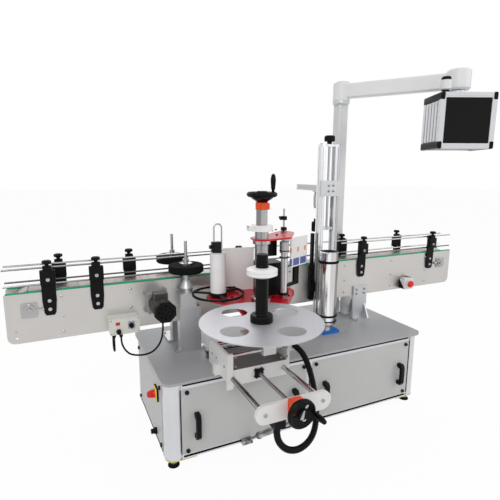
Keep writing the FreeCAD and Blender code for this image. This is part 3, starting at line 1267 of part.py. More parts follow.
def slanted_block(start, end, thickness, z0, z1):
    """Upright board between two plan points, thickness to its left."""
    run = V(end[0] - start[0], end[1] - start[1], 0)
    angle = math.degrees(math.atan2(run.y, run.x))
    board = block(0, run.Length, 0, thickness, z0, z1)
    board.rotate(V(0, 0, 0), V(0, 0, 1), angle)
    board.translate(V(start[0], start[1], 0))
    return board


def head_drive():
    """Black parts of the head: stepper motors, gear case, peel board and its arm."""
    pieces = []
    pieces.append(block(-208.0, -151.0, 66.0, 112.0, UPPER_PLATE_Z - 84.0, UPPER_PLATE_Z))
    pieces.append(block(-222.0, -112.0, 78.0, 158.0, HEAD_TOP, HEAD_TOP + 150.0))
    pieces.append(block(-216.0, -159.0, 90.0, 147.0, HEAD_PLATE_Z - 76.0, HEAD_PLATE_Z))
    arm = slanted_block(board_point(-24.0), board_point(84.0), 12.0, HEAD_TOP, HEAD_TOP + 16.0)
    arm = arm.fuse(block(-72.0, -24.0, 174.0, 198.0, HEAD_TOP, HEAD_TOP + 16.0))
    riser = slanted_block(board_point(44.0), board_point(84.0), 12.0, HEAD_TOP, WEB_HIGH - 20.0)
    pieces.append(arm.fuse(riser))
    return pieces


def peel_board():
    """Pale board with a sharp end, over which the label web is peeled."""
    run = math.hypot(PEEL_END[0] - PEEL_START[0], PEEL_END[1] - PEEL_START[1])
    outline = [(0, 0), (run, 0), (run - 14.0, -6.0), (0, -6.0)]
    board = prism_xy(outline, WEB_HIGH - 110.0, WEB_HIGH + 36.0)
    angle = math.degrees(math.atan2(PEEL_END[1] - PEEL_START[1], PEEL_END[0] - PEEL_START[0]))
    board.rotate(V(0, 0, 0), V(0, 0, 1), angle)
    board.translate(V(PEEL_START[0], PEEL_START[1], 0))
    return board


def label_web():
    """Band of label stock from the waste mandrel to the first roller, 1 mm thick."""
    start = (REWIND_X + 52.0, REWIND_Y + 72.0)
    end = (-196.0, 210.0)
    lower_start = (REWIND_X + 112.0, REWIND_Y + 63.14)
    band = slanted_block(start, end, WEB_THICKNESS, RING_TOP + 2.0, WEB_HIGH)
    return band.fuse(slanted_block(lower_start, end, WEB_THICKNESS, HEAD_TOP, WEB_HIGH))


# ---------------------------------------------------------------- wrap station
def roller_base():
    """Foot, stub and blue mounting block under the wrap roller, and the rub bar stand."""
    plinth = prism_xy([(WRAP_X - 40.0, WRAP_Y - 34.0), (WRAP_X + 60.0, WRAP_Y - 34.0),
                       (WRAP_X + 60.0, WRAP_Y + 46.0), (WRAP_X - 20.0, WRAP_Y + 46.0)],
                      TABLE_Z, TABLE_Z + 16.0)
    stub = turned_z(WRAP_X, WRAP_Y, [
        (10.0 + RUNNING_FIT, TABLE_Z + 15.0), (24.0, TABLE_Z + 15.0), (20.0, TABLE_Z + 34.0),
        (20.0, WRAP_BOTTOM - 2.0), (10.0 + RUNNING_FIT, WRAP_BOTTOM - 2.0)])
    return plinth.cut(rod_z(WRAP_X, WRAP_Y, TABLE_Z + 8.0, TABLE_Z + 20.0,
                            10.0 + RUNNING_FIT)).fuse(stub)


def rub_bar():
    """Upright rubber rub bar on a black stand bolted to the conveyor plate."""
    x = LIFT_X - LIFT_SPAN / 2.0 - RUB_BAR_FROM_LIFT
    stand = block(x - 12.0, x + 12.0, CONVEYOR_FRONT_Y - 22.0, CONVEYOR_FRONT_Y, 560.0, 745.0)
    clamp = block(x - 20.0, x + 14.0, CONVEYOR_FRONT_Y - 34.0, CONVEYOR_FRONT_Y - 22.0,
                  610.0, 660.0)
    bar = block(x - 7.0, x + 7.0, CONVEYOR_FRONT_Y - 22.0, CONVEYOR_FRONT_Y - 4.0, 745.0, 922.0)
    return stand.fuse(clamp).fuse(bar)


def wrap_roller():
    """Polished roller with a rubber cap and two O-rings."""
    return turned_z(WRAP_X, WRAP_Y, [
        (0, TABLE_Z + 10.0), (10.0, TABLE_Z + 10.0), (10.0, WRAP_BOTTOM - 1.0),
        (WRAP_RADIUS - 4.0, WRAP_BOTTOM), (WRAP_RADIUS, WRAP_BOTTOM + 3.0),
        (WRAP_RADIUS, WRAP_BOTTOM + 42.0), (WRAP_RADIUS + 5.0, WRAP_BOTTOM + 46.0),
        (WRAP_RADIUS + 5.0, WRAP_BOTTOM + 50.0), (WRAP_RADIUS, WRAP_BOTTOM + 54.0),
        (WRAP_RADIUS, WRAP_TOP - 54.0), (WRAP_RADIUS + 5.0, WRAP_TOP - 50.0),
        (WRAP_RADIUS + 5.0, WRAP_TOP - 46.0), (WRAP_RADIUS, WRAP_TOP - 42.0),
        (WRAP_RADIUS, WRAP_TOP), (WRAP_RADIUS - 6.0, WRAP_TOP + 4.0), (14.0, WRAP_TOP + 4.0),
        (14.0, WRAP_TOP - 6.0), (0, WRAP_TOP - 6.0)])


def lift_column():
    """Two slotted profiles with a foot, a top plate and a lower screw bearing."""
    pieces = []
    half = LIFT_PROFILE / 2.0
    for sign in (-1, 1):
        x = LIFT_X + sign * (LIFT_SPAN / 2.0 - half)
        profile = block(x - half, x + half, LIFT_Y - half, LIFT_Y + half, TABLE_Z + 12.0,
                        LIFT_TOP - 12.0)
        for dx, dy in ((-1, 0), (1, 0), (0, -1), (0, 1)):
            cx = x + dx * half
            cy = LIFT_Y + dy * half
            profile = profile.cut(block(cx - 4.0, cx + 4.0, cy - 4.0, cy + 4.0, TABLE_Z,
                                        LIFT_TOP))
        pieces.append(profile)
    span = LIFT_SPAN / 2.0
    pieces.append(rounded_block(LIFT_X - span - 12.0, LIFT_X + span + 12.0, LIFT_Y - 30.0,
                                LIFT_Y + 26.0, TABLE_Z, TABLE_Z + 12.0, 8.0))
    top = rounded_block(LIFT_X - span, LIFT_X + span, LIFT_Y - half, LIFT_Y + half,
                        LIFT_TOP - 12.0, LIFT_TOP, 6.0)
    pieces.append(top.cut(rod_z(LIFT_X, LIFT_Y, LIFT_TOP - 20.0, LIFT_TOP + 1.0,
                                LIFT_SCREW_RADIUS + RUNNING_FIT)))
    bridge = block(LIFT_X - span + LIFT_PROFILE, LIFT_X + span - LIFT_PROFILE, LIFT_Y - 12.0,
                   LIFT_Y + 12.0, BRIDGE_Z, BRIDGE_Z + BRIDGE_HEIGHT)
    pieces.append(bridge.cut(rod_z(LIFT_X, LIFT_Y, BRIDGE_Z - 1.0, BRIDGE_Z + BRIDGE_HEIGHT + 1.0,
                                   LIFT_SCREW_RADIUS + RUNNING_FIT)))
    return pieces


def lift_screw():
    """Lifting screw with a ribbed knob on top."""
    screw = rod_z(LIFT_X, LIFT_Y, BRIDGE_Z + 1.0, LIFT_TOP + 20.0, LIFT_SCREW_RADIUS)
    knob = turned_z(LIFT_X, LIFT_Y, [(0, LIFT_TOP + 0.5), (12.0, LIFT_TOP + 0.5),
                                     (12.0, LIFT_TOP + 12.0), (27.0, LIFT_TOP + 16.0),
                                     (27.0, LIFT_TOP + 38.0), (21.0, LIFT_TOP + 44.0),
                                     (0, LIFT_TOP + 44.0)])
    notches = []
    for dx, dy in ring_of(8, 31.0):
        notches.append(rod_z(LIFT_X + dx, LIFT_Y + dy, LIFT_TOP + 10.0, LIFT_TOP + 50.0, 7.0))
    return screw.fuse(knob.cut(Part.makeCompound(notches)))


def lift_carriage():
    """Carriage plate on the column front, nut block between the profiles, and the arm."""
    half = LIFT_PROFILE / 2.0
    span = LIFT_SPAN / 2.0
    front = LIFT_Y - half - 1.0
    plate = block(LIFT_X - span, LIFT_X + span, front - 12.0, front, CARRIAGE_Z - 40.0,
                  CARRIAGE_Z + 40.0)
    nut = block(LIFT_X - span + LIFT_PROFILE + 1.0, LIFT_X + span - LIFT_PROFILE - 1.0, front - 2.0,
                LIFT_Y + half + 12.0, CARRIAGE_Z - 22.0, CARRIAGE_Z + 22.0)
    nut = nut.cut(rod_z(LIFT_X, LIFT_Y, CARRIAGE_Z - 30.0, CARRIAGE_Z + 30.0,
                        LIFT_SCREW_RADIUS + RUNNING_FIT))
    arm = block(PAD_X - half, PAD_X + half, LIFT_Y + half + 12.0,
                LIFT_Y + half + 12.0 + ARM_LENGTH - 60.0, CARRIAGE_Z - half, CARRIAGE_Z + half)
    for dx in (-1, 1):
        cx = PAD_X + dx * half
        arm = arm.cut(block(cx - 4.0, cx + 4.0, LIFT_Y + half + 13.0, LIFT_Y + 400.0,
                            CARRIAGE_Z - 4.0, CARRIAGE_Z + 4.0))
    return plate.fuse(nut).fuse(arm)


CYLINDER_LENGTH = 94.0
CYLINDER_LOW = CARRIAGE_Z - LIFT_PROFILE / 2.0 - CYLINDER_LENGTH
PAD_DROP = 126.0


def air_cylinder():
    """Small air cylinder under the arm, with a mounting flange and two ports."""
    top = CARRIAGE_Z - LIFT_PROFILE / 2.0
    body = turned_z(PAD_X, PAD_Y, [
        (5.0 + RUNNING_FIT, CYLINDER_LOW), (17.0, CYLINDER_LOW), (17.0, CYLINDER_LOW + 10.0),
        (20.0, CYLINDER_LOW + 12.0), (20.0, top - 24.0), (17.0, top - 20.0), (17.0, top - 6.0),
        (26.0, top - 6.0), (26.0, top), (5.0 + RUNNING_FIT, top)])
    port = rod_x(PAD_X + 15.0, PAD_X + 32.0, PAD_Y, CYLINDER_LOW + 22.0, 5.0)
    port_high = rod_x(PAD_X + 15.0, PAD_X + 32.0, PAD_Y, top - 30.0, 5.0)
    return body.fuse(port).fuse(port_high).cut(
        rod_z(PAD_X, PAD_Y, CYLINDER_LOW - 1.0, top - 8.0, 5.0 + RUNNING_FIT))


def bottle_pad():
    """Cylinder rod with the rubber pad that steadies the bottle from above."""
    low = CYLINDER_LOW - PAD_DROP
    return turned_z(PAD_X, PAD_Y, [
        (0, CYLINDER_LOW + 70.0), (5.0, CYLINDER_LOW + 70.0), (5.0, low + 74.0), (14.0, low + 70.0),
        (14.0, low + 56.0), (26.0, low + 50.0), (26.0, low + 4.0), (23.0, low), (0, low)])


# ---------------------------------------------------------------- operator panel
def hmi_post():
    """Square post on a flange, with the round elbow seat at its head."""
    half = HMI_POST_SIZE / 2.0
    reach = HMI_FLANGE / 2.0
    flange = rounded_block(HMI_POST_X - reach, HMI_POST_X + reach, HMI_POST_Y - reach,
                           HMI_POST_Y + reach, TABLE_Z, TABLE_Z + 10.0, 12.0)
    post = rounded_block(HMI_POST_X - half, HMI_POST_X + half, HMI_POST_Y - half,
                         HMI_POST_Y + half, TABLE_Z + 10.0, HMI_POST_TOP, 6.0)
    seat = turned_z(HMI_POST_X, HMI_POST_Y, [
        (0, HMI_POST_TOP - 22.0), (40.0, HMI_POST_TOP - 22.0), (47.0, HMI_POST_TOP - 12.0),
        (47.0, HMI_POST_TOP), (20.0, HMI_POST_TOP), (20.0, HMI_POST_TOP + 40.0),
        (0, HMI_POST_TOP + 40.0)])
    return flange.fuse(post).fuse(seat)


def hmi_end():
    angle = math.radians(HMI_ARM_ANGLE)
    return (HMI_POST_X + HMI_ARM_LENGTH * math.cos(angle),
            HMI_POST_Y + HMI_ARM_LENGTH * math.sin(angle))


HMI_ARM_LOW = HMI_POST_TOP + 1.0
HMI_ARM_TOP = HMI_ARM_LOW + 102.0


def hmi_arm():
    """Swinging arm: elbow cap on the post, box tube, and the end joint housing."""
    mid = (HMI_ARM_LOW + HMI_ARM_TOP) / 2.0
    tube_low = mid - HMI_ARM_HEIGHT / 2.0
    tube_high = mid + HMI_ARM_HEIGHT / 2.0
    half = HMI_ARM_WIDTH / 2.0
    beam = block(0.0, HMI_ARM_LENGTH, -half, half, tube_low, tube_high)
    beam = beam.makeFillet(9.0, edges_along(beam, "x"))
    elbow = turned_z(0, 0, [(0, HMI_ARM_LOW), (47.0, HMI_ARM_LOW), (47.0, HMI_ARM_TOP - 8.0),
                            (40.0, HMI_ARM_TOP), (0, HMI_ARM_TOP)])
    end = turned_z(HMI_ARM_LENGTH, 0, [
        (0, HMI_ARM_LOW + 6.0), (HMI_JOINT_RADIUS - 8.0, HMI_ARM_LOW + 6.0),
        (HMI_JOINT_RADIUS, HMI_ARM_LOW + 14.0), (HMI_JOINT_RADIUS, HMI_ARM_TOP - 8.0),
        (HMI_JOINT_RADIUS - 8.0, HMI_ARM_TOP), (0, HMI_ARM_TOP)])
    arm = beam.fuse(elbow).fuse(end)
    arm = arm.cut(rod_z(0, 0, HMI_ARM_LOW - 1.0, HMI_ARM_LOW + 42.0, 20.0 + RUNNING_FIT))
    arm = arm.cut(rod_z(HMI_ARM_LENGTH, 0, HMI_ARM_LOW, HMI_ARM_LOW + 42.0, 20.0 + RUNNING_FIT))
    arm.rotate(V(0, 0, 0), V(0, 0, 1), HMI_ARM_ANGLE)
    arm.translate(V(HMI_POST_X, HMI_POST_Y, 0))
    return arm


HMI_TOP = HMI_ARM_LOW + 5.0 - 28.0


def place_hmi(shape):
    """Turn a shape modelled facing -y about the end joint and put it in place."""
    x, y = hmi_end()
    placed = shape.copy()
    placed.rotate(V(0, 0, 0), V(0, 0, 1), -HMI_BOX_YAW)
    placed.translate(V(x, y, 0))
    return placed


def hmi_box():
    """Panel housing: pale core, ribbed frame members, black corner blocks, neck."""
    half = HMI_WIDTH / 2.0
    front = -HMI_DEPTH / 2.0 - 30.0
    back = front + HMI_DEPTH
    low = HMI_TOP - HMI_HEIGHT
    bar = 24.0
    core = block(-half + 6.0, half - 6.0, front + 6.0, back - 6.0, low + 6.0, HMI_TOP - 6.0)
    window = block(-half + bar, half - bar, front, front + 12.0, low + bar, HMI_TOP - bar)
    frame = block(-half + bar / 2, half - bar / 2, front, front + 14.0, low + bar / 2,
                  HMI_TOP - bar / 2)
    solid = core.fuse(frame)
    bars = []
    for sx in (-1, 1):
        for z0 in (low, HMI_TOP - bar):
            x0 = sx * half
            bars.append(block(x0, x0 - sx * bar, front, back, z0, z0 + bar))
        for y0 in (front, back - bar):
            bars.append(block(sx * half, sx * (half - bar), y0, y0 + bar, low, HMI_TOP))
    for z0 in (low, HMI_TOP - bar):
        for y0 in (front, back - bar):
            bars.append(block(-half, half, y0, y0 + bar, z0, z0 + bar))
    solid = solid.multiFuse(bars).removeSplitter()
    solid = solid.cut(window)
    neck = turned_z(0, 0, [(0, HMI_TOP - 8.0), (34.0, HMI_TOP - 8.0), (34.0, HMI_TOP + 27.0),
                           (20.0, HMI_TOP + 27.0), (20.0, HMI_TOP + 64.0), (0, HMI_TOP + 64.0)])
    return place_hmi(solid.fuse(neck))


def hmi_screen():
    """Dark display plate set into the front frame."""
    half = HMI_WIDTH / 2.0
    front = -HMI_DEPTH / 2.0 - 30.0
    low = HMI_TOP - HMI_HEIGHT
    bar = 24.0
    return place_hmi(block(-half + bar, half - bar, front + 5.0, front + 12.0, low + bar,
                           HMI_TOP - bar))


def beacon():
    """Small buzzer lamp standing on the panel housing."""
    x = -HMI_WIDTH / 2.0 + 34.0
    y = -HMI_DEPTH / 2.0 - 30.0 + 40.0
    lamp = turned_z(x, y, [
        (0, HMI_TOP), (18.0, HMI_TOP), (18.0, HMI_TOP + 14.0), (25.0, HMI_TOP + 18.0),
        (25.0, HMI_TOP + 58.0), (22.0, HMI_TOP + 60.0), (22.0, HMI_TOP + 68.0),
        (19.0, HMI_TOP + 74.0), (0, HMI_TOP + 76.0)])
    return place_hmi(lamp)


# ---------------------------------------------------------------- cables and glands
GLAND_A = (-813.0, 272.0)
GLAND_B = (-843.0, 272.0)
CABLE_DIAMETER = 8.0
HOSE_DIAMETER = 26.0
MOTOR_GLAND_Y = 165.0
HOSE_GLAND = (-373.0, SLIDE_FRONT_Y + 14.0)


def hose_gland_top():
    return SLIDE_ROD_Z - END_PLATE_RADIUS


def cable_glands():
    """Strain reliefs: side panel, motor, control box, hose ends."""
    pieces = []
    wall = -HALF_WIDTH - PANEL_THICKNESS
    pieces.append(turned_x(178.0, 88.0, [(0, wall), (15.0, wall), (15.0, wall - 10.0),
                                         (11.0, wall - 14.0), (11.0, wall - 26.0),
                                         (0, wall - 26.0)]))
    for x, y in (GLAND_A, GLAND_B):
        low = CONTROL_Z[0]
        pieces.append(turned_z(x, y, [(0, low), (9.0, low), (9.0, low - 12.0),
                                      (7.0, low - 22.0), (0, low - 22.0)]))
    motor_low = DRIVE_Z - MOTOR_RADIUS
    pieces.append(turned_z(DRIVE_X, MOTOR_GLAND_Y, [(0, motor_low), (9.0, motor_low),
                                            (9.0, motor_low - 10.0), (7.0, motor_low - 18.0),
                                            (0, motor_low - 18.0)]))
    x, y = HOSE_GLAND
    top = hose_gland_top()
    pieces.append(block(x - 22.0, x + 22.0, y - 28.0, y + 20.0, top - 34.0, top))
    return pieces


def motor_cable():
    """Cable drooping from the motor to the control box, square out of both glands."""
    low = DRIVE_Z - MOTOR_RADIUS - 18.0
    x, y = GLAND_A
    return tube([(DRIVE_X, MOTOR_GLAND_Y, low), (DRIVE_X, MOTOR_GLAND_Y, 568.0),
                 (DRIVE_X - 4.0, 167.0, 535.0), (DRIVE_X - 14.0, 172.0, 503.0),
                 (-682.0, 179.0, 476.0), (-707.0, 189.0, 457.0), (-742.0, 206.0, 447.0),
                 (-778.0, 229.5, 447.0), (x + 20.5, y - 25.1, 453.9), (x + 10.8, y - 13.2, 465.0),
                 (x + 3.7, y - 4.5, 480.4), (x, y, 498.5), (x, y, CONTROL_Z[0] - 22.0)],
                CABLE_DIAMETER, "motor_cable")


def control_box_cable():
    """Supply cable that hangs from the box and turns up between the side plates."""
    x, y = GLAND_B
    return tube([(x, y, CONTROL_Z[0] - 22.0), (x, y, 481.3), (x + 0.6, y + 4.2, 468.5),
                 (x + 1.2, y + 12.1, 457.6), (x + 1.8, y + 23.0, 449.7),
                 (x + 2.2, y + 35.8, 445.5), (x + 2.8, y + 49.2, 445.5),
                 (x + 3.2, y + 62.0, 449.7), (x + 3.8, y + 72.9, 457.6),
                 (x + 4.4, y + 80.8, 468.5), (x + 5.0, y + 85.0, 481.3),
                 (x + 5.0, y + 85.0, SIDE_PLATE_BOTTOM + 8.0)], CABLE_DIAMETER,
                "control_box_cable")


def corrugated_hose():
    """Wiring conduit from the saddle down and back up to the block under the end plate."""
    x, y = HOSE_GLAND
    start_x = SADDLE_RIGHT_X + 26.0
    start_z = SADDLE_TOP - 20.0
    front = SADDLE_FRONT_Y
    return tube([(start_x, front + 4.0, start_z), (start_x, front - 42.0, start_z),
                 (start_x - 1.0, front - 88.0, start_z - 20.0), (start_x - 4.0, -218.0, 444.0),
                 (start_x - 11.0, -258.0, 396.0), (start_x - 22.0, -294.0, 345.0),
                 (-176.0, -321.0, 298.0), (-199.0, -341.0, 254.0), (-234.0, -352.0, 226.0),
                 (-279.0, -357.0, 215.0), (x + 48.9, y, 228.0), (x + 17.3, y, 259.9),
                 (x, y, 298.7), (x, y, hose_gland_top() - 34.0)], HOSE_DIAMETER,
                "corrugated_hose")


# ---------------------------------------------------------------- write every node
def main():
    os.makedirs("parts", exist_ok=True)
    save("base_frame", base_frame())
    save("cabinet_panels", cabinet_panels())
    save("panel_handles", panel_handles())
    save("levelling_feet", levelling_feet())
    save("table_top", table_top())
    save("main_switch_base", main_switch_base())
    save("main_switch_knob", main_switch_knob())
    save("control_gear", control_gear())
    save("conveyor_front_plate", side_plate(CONVEYOR_FRONT_Y))
    save("conveyor_back_plate", side_plate(INNER_BACK_Y))
    save("conveyor_cross_bars", conveyor_cross_bars())
    save("wear_strips", wear_strips())
    save("slat_chain", slat_chain())
    y0 = CONVEYOR_FRONT_Y - BEARING_DEPTH - 8.0
    y1 = CONVEYOR_BACK_Y + BEARING_DEPTH + 4.0
    save("left_idler_sprocket", sprocket(-END_SHAFT_X, END_SHAFT_Z, END_TEETH,
                                         END_PITCH_RADIUS, y0, y1))
    save("right_idler_sprocket", sprocket(END_SHAFT_X, END_SHAFT_Z, END_TEETH,
                                          END_PITCH_RADIUS, y0, y1))
    save("drive_sprocket", sprocket(DRIVE_X, DRIVE_Z, DRIVE_TEETH, DRIVE_PITCH_RADIUS,
                                    CONVEYOR_FRONT_Y - GEARBOX_DEPTH + 12.0, y1))
    save("drive_gearmotor", drive_gearmotor())
    save("motor_fan_cover", motor_fan_cover())
    save("control_box", control_box())
    save("speed_knob", speed_knob())
    save("selector_knob", selector_knob())
    save("rocker_switch", rocker_switch())
    save("estop_box", estop_box())
    save("estop_button", estop_button())
    save("guide_rods", guide_rods())
    save("guide_brackets", guide_brackets())
    save("left_support", left_support())
    save("right_support", right_support())
    save("front_spacing_wheel", spacing_wheel(FRONT_WHEEL_Y, LEFT_SUPPORT_TOP))
    save("rear_spacing_wheel", spacing_wheel(REAR_WHEEL_Y, LEFT_SUPPORT_TOP))
    save("slide_rods", slide_rods())
    save("slide_end_plate", [slide_end_plate(), slide_counter()])
    save("stay_rod", stay_rod())
    save("slide_handwheel", slide_handwheel())
    save("saddle", saddle())
    save("column_stage", [column_stage(), column_counter()])
    save("column_handwheel", column_handwheel())
    save("head_plate", head_plate())
    save("head_sleeve", head_sleeve())
    save("head_drive", head_drive())
    save("label_web", [peel_board(), label_web()])
    save("supply_tray", [supply_tray(), supply_flange()])
    save("supply_spindle", supply_spindle())
    save("rewind_reel", rewind_reel())
    save("front_guide_roller", guide_roller(FRONT_ROLLER, FRONT_COLLAR_Z))
    save("rear_guide_roller", guide_roller(REAR_ROLLER, REAR_COLLAR_Z))
    save("wrap_stand", [roller_base(), rub_bar()])
    save("wrap_roller", wrap_roller())
    save("lift_column", lift_column())
    save("lift_screw", lift_screw())
    save("lift_carriage", lift_carriage())
    save("air_cylinder", air_cylinder())
    save("bottle_pad", bottle_pad())
    save("hmi_post", hmi_post())
    save("hmi_arm", hmi_arm())
    save("hmi_box", [hmi_box(), hmi_screen(), beacon()])
    save("cable_glands", cable_glands())
    save("motor_cable", motor_cable())
    save("control_box_cable", control_box_cable())
    save("corrugated_hose", corrugated_hose())


main()
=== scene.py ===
"""Dresses the bottle labelling machine: finishes, small fittings and a plain studio."""

import json
import math

import bmesh
import bpy
import numpy as np
from bpy.props import FloatProperty, FloatVectorProperty, PointerProperty
from mathutils import Matrix, Vector

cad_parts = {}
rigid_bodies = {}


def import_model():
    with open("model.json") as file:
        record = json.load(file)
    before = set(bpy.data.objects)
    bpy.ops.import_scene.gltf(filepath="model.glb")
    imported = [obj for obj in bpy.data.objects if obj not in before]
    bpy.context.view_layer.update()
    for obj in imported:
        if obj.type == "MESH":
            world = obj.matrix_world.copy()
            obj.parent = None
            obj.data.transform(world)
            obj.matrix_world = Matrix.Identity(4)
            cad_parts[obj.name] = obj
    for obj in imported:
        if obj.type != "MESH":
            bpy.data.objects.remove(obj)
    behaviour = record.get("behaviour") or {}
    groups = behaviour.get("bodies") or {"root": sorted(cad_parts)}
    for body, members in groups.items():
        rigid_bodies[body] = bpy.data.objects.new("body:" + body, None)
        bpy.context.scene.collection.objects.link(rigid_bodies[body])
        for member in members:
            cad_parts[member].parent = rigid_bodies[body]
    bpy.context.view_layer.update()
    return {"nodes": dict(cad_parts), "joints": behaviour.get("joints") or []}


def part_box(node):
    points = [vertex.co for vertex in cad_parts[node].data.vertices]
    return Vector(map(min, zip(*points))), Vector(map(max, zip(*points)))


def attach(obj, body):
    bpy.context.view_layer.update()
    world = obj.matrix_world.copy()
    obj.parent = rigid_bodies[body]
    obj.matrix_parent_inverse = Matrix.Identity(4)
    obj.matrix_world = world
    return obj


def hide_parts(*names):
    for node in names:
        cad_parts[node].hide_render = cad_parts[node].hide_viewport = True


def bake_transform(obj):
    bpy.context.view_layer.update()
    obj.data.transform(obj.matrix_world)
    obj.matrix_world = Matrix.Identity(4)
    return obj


bl_info = {
    "name": "Labelling machine finishes",
    "version": (1, 0, 0),
    "blender": (4, 5, 0),
    "location": "View3D > Sidebar > Labeller",
    "description": "Finishes and small fittings for a bottle labelling machine",
    "category": "Object",
}

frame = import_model()
NODES = frame["nodes"]
WHITE = (1.0, 1.0, 1.0, 1.0)
SLAT_PITCH = 0.0381
LABEL_PITCH = 0.062
FAR = 50.0
FORWARD, BACKWARD = (0.0, -1.0, 0.0), (0.0, 1.0, 0.0)
LEFTWARD, RIGHTWARD = (-1.0, 0.0, 0.0), (1.0, 0.0, 0.0)


def corners(node):
    """Lowest and highest corner of a node as two arrays, in metres."""
    low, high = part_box(node)
    return np.array(low), np.array(high)


# ------------------------------------------------------------------ shader maths
def arithmetic(operation, swapped=False):
    """Plain operator that adds one Math node."""
    def apply(self, other):
        pair = (other, self) if swapped else (self, other)
        return self.finish.node("ShaderNodeMath", {"operation": operation}, *pair)
    return apply


class Term:
    """An output socket that can be used in plain arithmetic: each operator adds a Math node."""

    def __init__(self, finish, socket):
        self.finish = finish
        self.socket = socket

    __add__ = __radd__ = arithmetic("ADD")
    __mul__ = __rmul__ = arithmetic("MULTIPLY")
    __sub__ = arithmetic("SUBTRACT")
    __rsub__ = arithmetic("SUBTRACT", swapped=True)
    __truediv__ = arithmetic("DIVIDE")
    __gt__ = arithmetic("GREATER_THAN")
    __lt__ = arithmetic("LESS_THAN")

    def math(self, operation, *others):
        return self.finish.node("ShaderNodeMath", {"operation": operation}, self, *others)

    def step(self, low, high):
        """Rises smoothly from 0 at low to 1 at high."""
        return self.finish.node("ShaderNodeMapRange", {"interpolation_type": "SMOOTHSTEP"},
                                self, low, high, 0.0, 1.0)


class Finish:
    """One material; node() adds any shader node, the rest name the common ones."""

    def __init__(self, name, holder=None):
        self.material = holder or bpy.data.materials.new(name)
        self.material.use_nodes = True
        self.tree = self.material.node_tree
        self.tree.nodes.clear()

    def node(self, kind, settings=None, *inputs, out=0, **named):
        made = self.tree.nodes.new(kind)
        for key, value in (settings or {}).items():
            setattr(made, key, value)
        for key, value in list(enumerate(inputs)) + list(named.items()):
            socket = made.inputs[key.replace("_", " ") if isinstance(key, str) else key]
            if isinstance(value, Term):
                self.tree.links.new(value.socket, socket)
            elif value is not None:
                socket.default_value = value
        return Term(self, made.outputs[out]) if made.outputs else None

    def place(self, scale=(1.0, 1.0, 1.0), turn=(0.0, 0.0, 0.0)):
        """Object coordinates in metres, scaled and turned."""
        spot = self.node("ShaderNodeTexCoord", out="Object")
        return self.node("ShaderNodeMapping", {}, spot, Rotation=turn, Scale=scale)

    def along(self, axis):
        """One object coordinate in metres: 0 for x, 1 for y, 2 for z."""
        spot = self.node("ShaderNodeTexCoord", out="Object")
        return self.node("ShaderNodeSeparateXYZ", {}, spot, out=axis)

    def noise(self, scale, detail=3.0, stretch=(1.0, 1.0, 1.0), turn=(0.0, 0.0, 0.0)):
        return self.node("ShaderNodeTexNoise", {}, Vector=self.place(stretch, turn),
                         Scale=scale, Detail=detail)

    def cells(self, scale, stretch=(1.0, 1.0, 1.0)):
        """Distance to the nearest point of a scattered cloud."""
        return self.node("ShaderNodeTexVoronoi", {}, Vector=self.place(stretch), Scale=scale)

    def random(self, value):
        """One steady random number for each whole value."""
        return self.node("ShaderNodeTexWhiteNoise", {"noise_dimensions": "1D"}, None,
                         value.math("FLOOR"))

    def blend(self, factor, first, second):
        """Colour that goes from first to second as factor goes from 0 to 1."""
        made = self.tree.nodes.new("ShaderNodeMix")
        made.data_type = "RGBA"
        for index, value in ((0, factor), (6, first), (7, second)):
            if isinstance(value, Term):
                self.tree.links.new(value.socket, made.inputs[index])
            elif index == 0:
                made.inputs[index].default_value = value
            else:
                made.inputs[index].default_value = (*value[:3], 1.0)
        return Term(self, made.outputs[2])

    def bump(self, height, strength=0.3, depth=0.001):
        return self.node("ShaderNodeBump", {}, Height=height, Strength=strength, Distance=depth)

    def surface(self, colour, roughness, metallic=0.0, **more):
        """Principled surface, linked to the material's output."""
        if not isinstance(colour, Term):
            colour = (*colour[:3], 1.0)
        shader = self.node("ShaderNodeBsdfPrincipled", {}, Base_Color=colour,
                           Roughness=roughness, Metallic=metallic, **more)
        self.node("ShaderNodeOutputMaterial", {}, shader)
        return self.material


def seen_ray(f):
    """1 for camera, mirror and transmission rays, 0 for the light that falls on things."""
    rays = [f.node("ShaderNodeLightPath", out=kind)
            for kind in ("Is Camera Ray", "Is Glossy Ray", "Is Transmission Ray")]
    return (rays[0] + rays[1] + rays[2]).math("MINIMUM", 1.0)


def shade(colour, factor):
    """Colour made darker or lighter by a plain factor."""
    return tuple(min(1.0, channel * factor) for channel in colour[:3])


# ------------------------------------------------------------------ finishes
def brushed_metal(name, colour, roughness, grain, metallic=1.0, strength=0.25, painted_reflection=None):
    """Metal brushed along the axis whose grain number is small; the last argument stretches broad
    dark and light bands of painted reflection.
    """
    f = Finish(name)
    fine = f.noise(1.0, 2.0, grain)
    cloud = f.noise(6.0, 3.0)
    tone = f.blend(fine * 0.55 + cloud * 0.45, shade(colour, 0.82), shade(colour, 1.12))
    # Painted reflection: broad bands that darken the colour to 0.34 and lighten it to 1.65 stand in
    # for mirrored surroundings and highlights.
    if painted_reflection:
        band = f.noise(1.0, 2.0, painted_reflection)
        tone = f.blend(band.step(0.52, 0.66) * 0.75, tone, shade(colour, 0.34))
        tone = f.blend(band.step(0.47, 0.36) * 0.60, tone, shade(colour, 1.65))
    rough = fine * 0.16 + cloud * 0.10 + (roughness - 0.13)
    return f.surface(tone, rough, metallic, Normal=f.bump(fine, strength, 0.0002))


